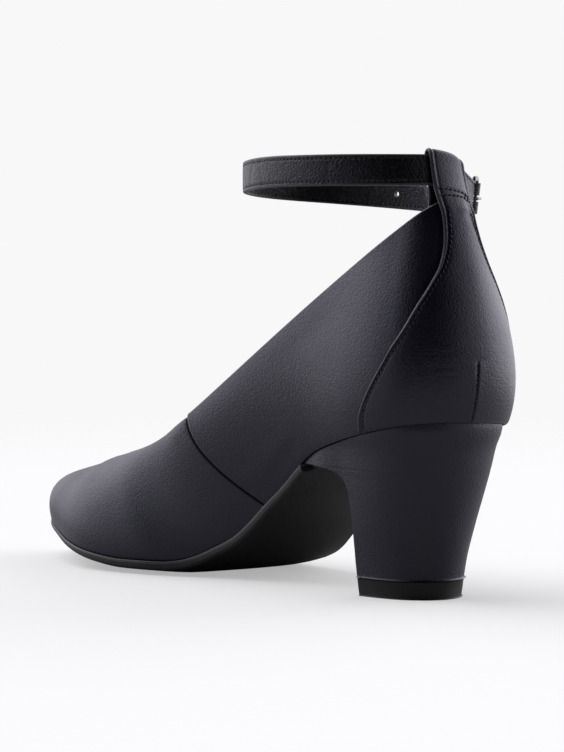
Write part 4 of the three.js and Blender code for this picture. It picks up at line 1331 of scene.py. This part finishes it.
def buildBuckle():
    wire, prong = buckleSize["wire"], buckleSize["prong"]
    reach, half = buckleSize["length"] - wire, (buckleSize["height"] - wire) / 2
    path = []
    for x, y, start in ((-reach, -half, 180), (0, -half, 270), (0, half, 0), (-reach, half, 90)):
        soft = buckleSize["barCorner" if x == 0 else "corner"]
        for a in np.radians(np.linspace(start, start + 90, 9)):
            path.append((x - np.sign(x + reach / 2) * soft + soft * math.cos(a),
                         y - np.sign(y) * soft + soft * math.sin(a), 0))
    dense = []
    for p, q in zip(path, path[1:] + path[:1]):
        p, q = np.array(p), np.array(q)
        count = max(1, int(np.linalg.norm(q - p) / 0.7))
        dense += [p + (q - p) * k / count for k in range(count)]
    wirePiece("buckle_ring", dense, wire, wire * buckleSize["flat"], True, "buckle_frame")
    orbit = wire / 2 + fitGap + prong / 2
    curl = [(orbit * math.cos(a), 0, orbit * math.sin(a)) for a in np.radians(np.linspace(60, -90, 16))]
    long, lift = buckleSize["length"] - wire / 2, buckleSize["prongRise"]
    rod = [(-t * long, 0, -orbit + lift * math.sin(math.pi * t)) for t in np.linspace(0, 1, 26)[1:]]
    thick = prong * np.concatenate([np.ones(16), np.linspace(1, buckleSize["prongTip"], 25)])
    thick[-1] *= 0.5
    wirePiece("buckle_pin", curl + rod, thick, thick * 0.9, False, "buckle_prong")


buildBuckle()
print("buckle ready")


# Floor, light and camera
studio = {
    "backdrop": (0.938, 0.938, 0.947),
    "light": (0.98, 0.97, 1.04),
    "floor": 0.63,  # as the camera sees it
    "bounce": 0.47,  # as the shoe sees it
    "floorTone": (1, 0.995, 0.955),
    "floorGlow": 0.4,
    "floorHalf": 1.5,
    "fadeFrom": 0.45,
    "fadeTo": 1,
    "fill": 0,
    "lobes": [  # direction, cosine where it starts and where it is full, strength
        ((-0.629, -0.749, 0.208), 0.643, 1, 0.85),  # right
        ((0.085, -0.974, 0.208), 0.643, 1, 2.15),  # right, behind the shoe
        ((0.974, 0.085, 0.208), 0.643, 1, 1.25),  # left, behind the shoe
        ((0.629, 0.749, 0.208), 0.643, 1, 0.7),  # left
        ((0.579, 0.211, 0.788), 0.743, 1, 2.2),  # high left
        ((0.472, -0.396, 0.788), 0.743, 1, 0.5),  # high behind
    ],
}


def buildWorld():
    world = bpy.data.worlds.new("studio")
    bpy.context.scene.world = world
    world.use_nodes = True
    tree = world.node_tree
    tree.nodes.clear()
    output = addNode(tree, "ShaderNodeOutputWorld")
    seen = addNode(tree, "ShaderNodeBackground")
    seen.inputs[0].default_value = (*studio["backdrop"], 1)
    lit = addNode(tree, "ShaderNodeBackground")
    lit.inputs[0].default_value = (*studio["light"], 1)
    way = addNode(tree, "ShaderNodeTexCoord")
    total = studio["fill"]
    for direction, low, high, strength in studio["lobes"]:
        dot = addNode(tree, "ShaderNodeVectorMath", operation="DOT_PRODUCT")
        tree.links.new(way.outputs["Generated"], dot.inputs[0])
        dot.inputs[1].default_value = tuple(unit(np.array(direction)))
        ends = {"From Min": low, "From Max": high}
        lobe = addNode(tree, "ShaderNodeMapRange", ends, interpolation_type="SMOOTHSTEP")
        tree.links.new(dot.outputs["Value"], lobe.inputs["Value"])
        total = mathNode(tree, "ADD", total, mathNode(tree, "MULTIPLY", lobe.outputs["Result"], strength))
    tree.links.new(total, lit.inputs["Strength"])
    ray = addNode(tree, "ShaderNodeLightPath")
    mix = addNode(tree, "ShaderNodeMixShader")
    tree.links.new(ray.outputs["Is Camera Ray"], mix.inputs[0])
    tree.links.new(lit.outputs[0], mix.inputs[1])
    tree.links.new(seen.outputs[0], mix.inputs[2])
    tree.links.new(mix.outputs[0], output.inputs[0])


def buildFloor():
    half = studio["floorHalf"]
    mesh = bpy.data.meshes.new("floor")
    corners = [(x * half, y * half, 0) for x, y in ((-1, -1), (1, -1), (1, 1), (-1, 1))]
    mesh.from_pydata(corners, [], [(0, 1, 2, 3)])
    floor = bpy.data.objects.new("floor", mesh)
    bpy.context.scene.collection.objects.link(floor)
    material = bpy.data.materials.new("paleFloor")
    material.use_nodes = True
    tree = material.node_tree
    tree.nodes.clear()
    output = addNode(tree, "ShaderNodeOutputMaterial")
    matt = addNode(tree, "ShaderNodeBsdfDiffuse")
    rays = addNode(tree, "ShaderNodeLightPath")
    seen = addNode(tree, "ShaderNodeMix", data_type="RGBA")
    colours = [socket for socket in seen.inputs if socket.type == "RGBA"]
    for socket, share in zip(colours, (studio["bounce"], studio["floor"])):
        socket.default_value = (*(share * tone for tone in studio["floorTone"]), 1)
    tree.links.new(rays.outputs["Is Camera Ray"], seen.inputs["Factor"])
    tree.links.new(next(socket for socket in seen.outputs if socket.type == "RGBA"), matt.inputs["Color"])
    clear = addNode(tree, "ShaderNodeBsdfTransparent")
    mix = addNode(tree, "ShaderNodeMixShader")
    where = addNode(tree, "ShaderNodeTexCoord")
    reach = addNode(tree, "ShaderNodeVectorMath", operation="LENGTH")
    tree.links.new(where.outputs["Object"], reach.inputs[0])
    ends = {"From Min": studio["fadeFrom"], "From Max": studio["fadeTo"]}
    fade = addNode(tree, "ShaderNodeMapRange", ends, interpolation_type="SMOOTHSTEP")
    tree.links.new(reach.outputs["Value"], fade.inputs["Value"])
    tree.links.new(fade.outputs["Result"], mix.inputs[0])
    glow = addNode(tree, "ShaderNodeEmission")
    share = studio["floorGlow"] / studio["backdrop"][0]
    glow.inputs["Color"].default_value = (*(share * tone for tone in studio["backdrop"]), 1)
    floorLook = addNode(tree, "ShaderNodeAddShader")
    tree.links.new(rays.outputs["Is Camera Ray"], glow.inputs["Strength"])
    tree.links.new(matt.outputs[0], floorLook.inputs[0])
    tree.links.new(glow.outputs[0], floorLook.inputs[1])
    tree.links.new(floorLook.outputs[0], mix.inputs[1])
    tree.links.new(clear.outputs[0], mix.inputs[2])
    tree.links.new(mix.outputs[0], output.inputs[0])
    mesh.materials.append(material)


view = {
    "turn": math.degrees(0.873094403),
    "rise": math.degrees(0.056037911),
    "distance": 1300,
    "aim": (100, 0, 75),
    "right": -0.88336,
    "up": -0.402844,
    "focal": 3525.43353,  # in pixels of the photograph
    "tall": 752,
    "sensor": 36,
}


def buildCamera():
    turn, rise = math.radians(view["turn"]), math.radians(view["rise"])
    right = np.array([-math.cos(turn), -math.sin(turn), 0])
    ahead = np.array([math.sin(turn) * math.cos(rise), -math.cos(turn) * math.cos(rise), -math.sin(rise)])
    up = np.cross(right, ahead)
    at = np.array(view["aim"]) - view["distance"] * ahead + view["right"] * right + view["up"] * up
    at[0] -= originX
    data = bpy.data.cameras.new("camera")
    data.sensor_width = view["sensor"]
    data.lens = view["focal"] / view["tall"] * view["sensor"]
    data.clip_start, data.clip_end = 0.05, 20
    camera = bpy.data.objects.new("camera", data)
    bpy.context.scene.collection.objects.link(camera)
    matrix = np.eye(4)
    matrix[:3, 0], matrix[:3, 1], matrix[:3, 2], matrix[:3, 3] = right, up, -ahead, at / 1000
    camera.matrix_world = Matrix(matrix.tolist())
    bpy.context.scene.camera = camera


buildWorld()
buildFloor()
buildCamera()
bpy.context.scene.view_settings.view_transform = "Standard"
print("studio ready")
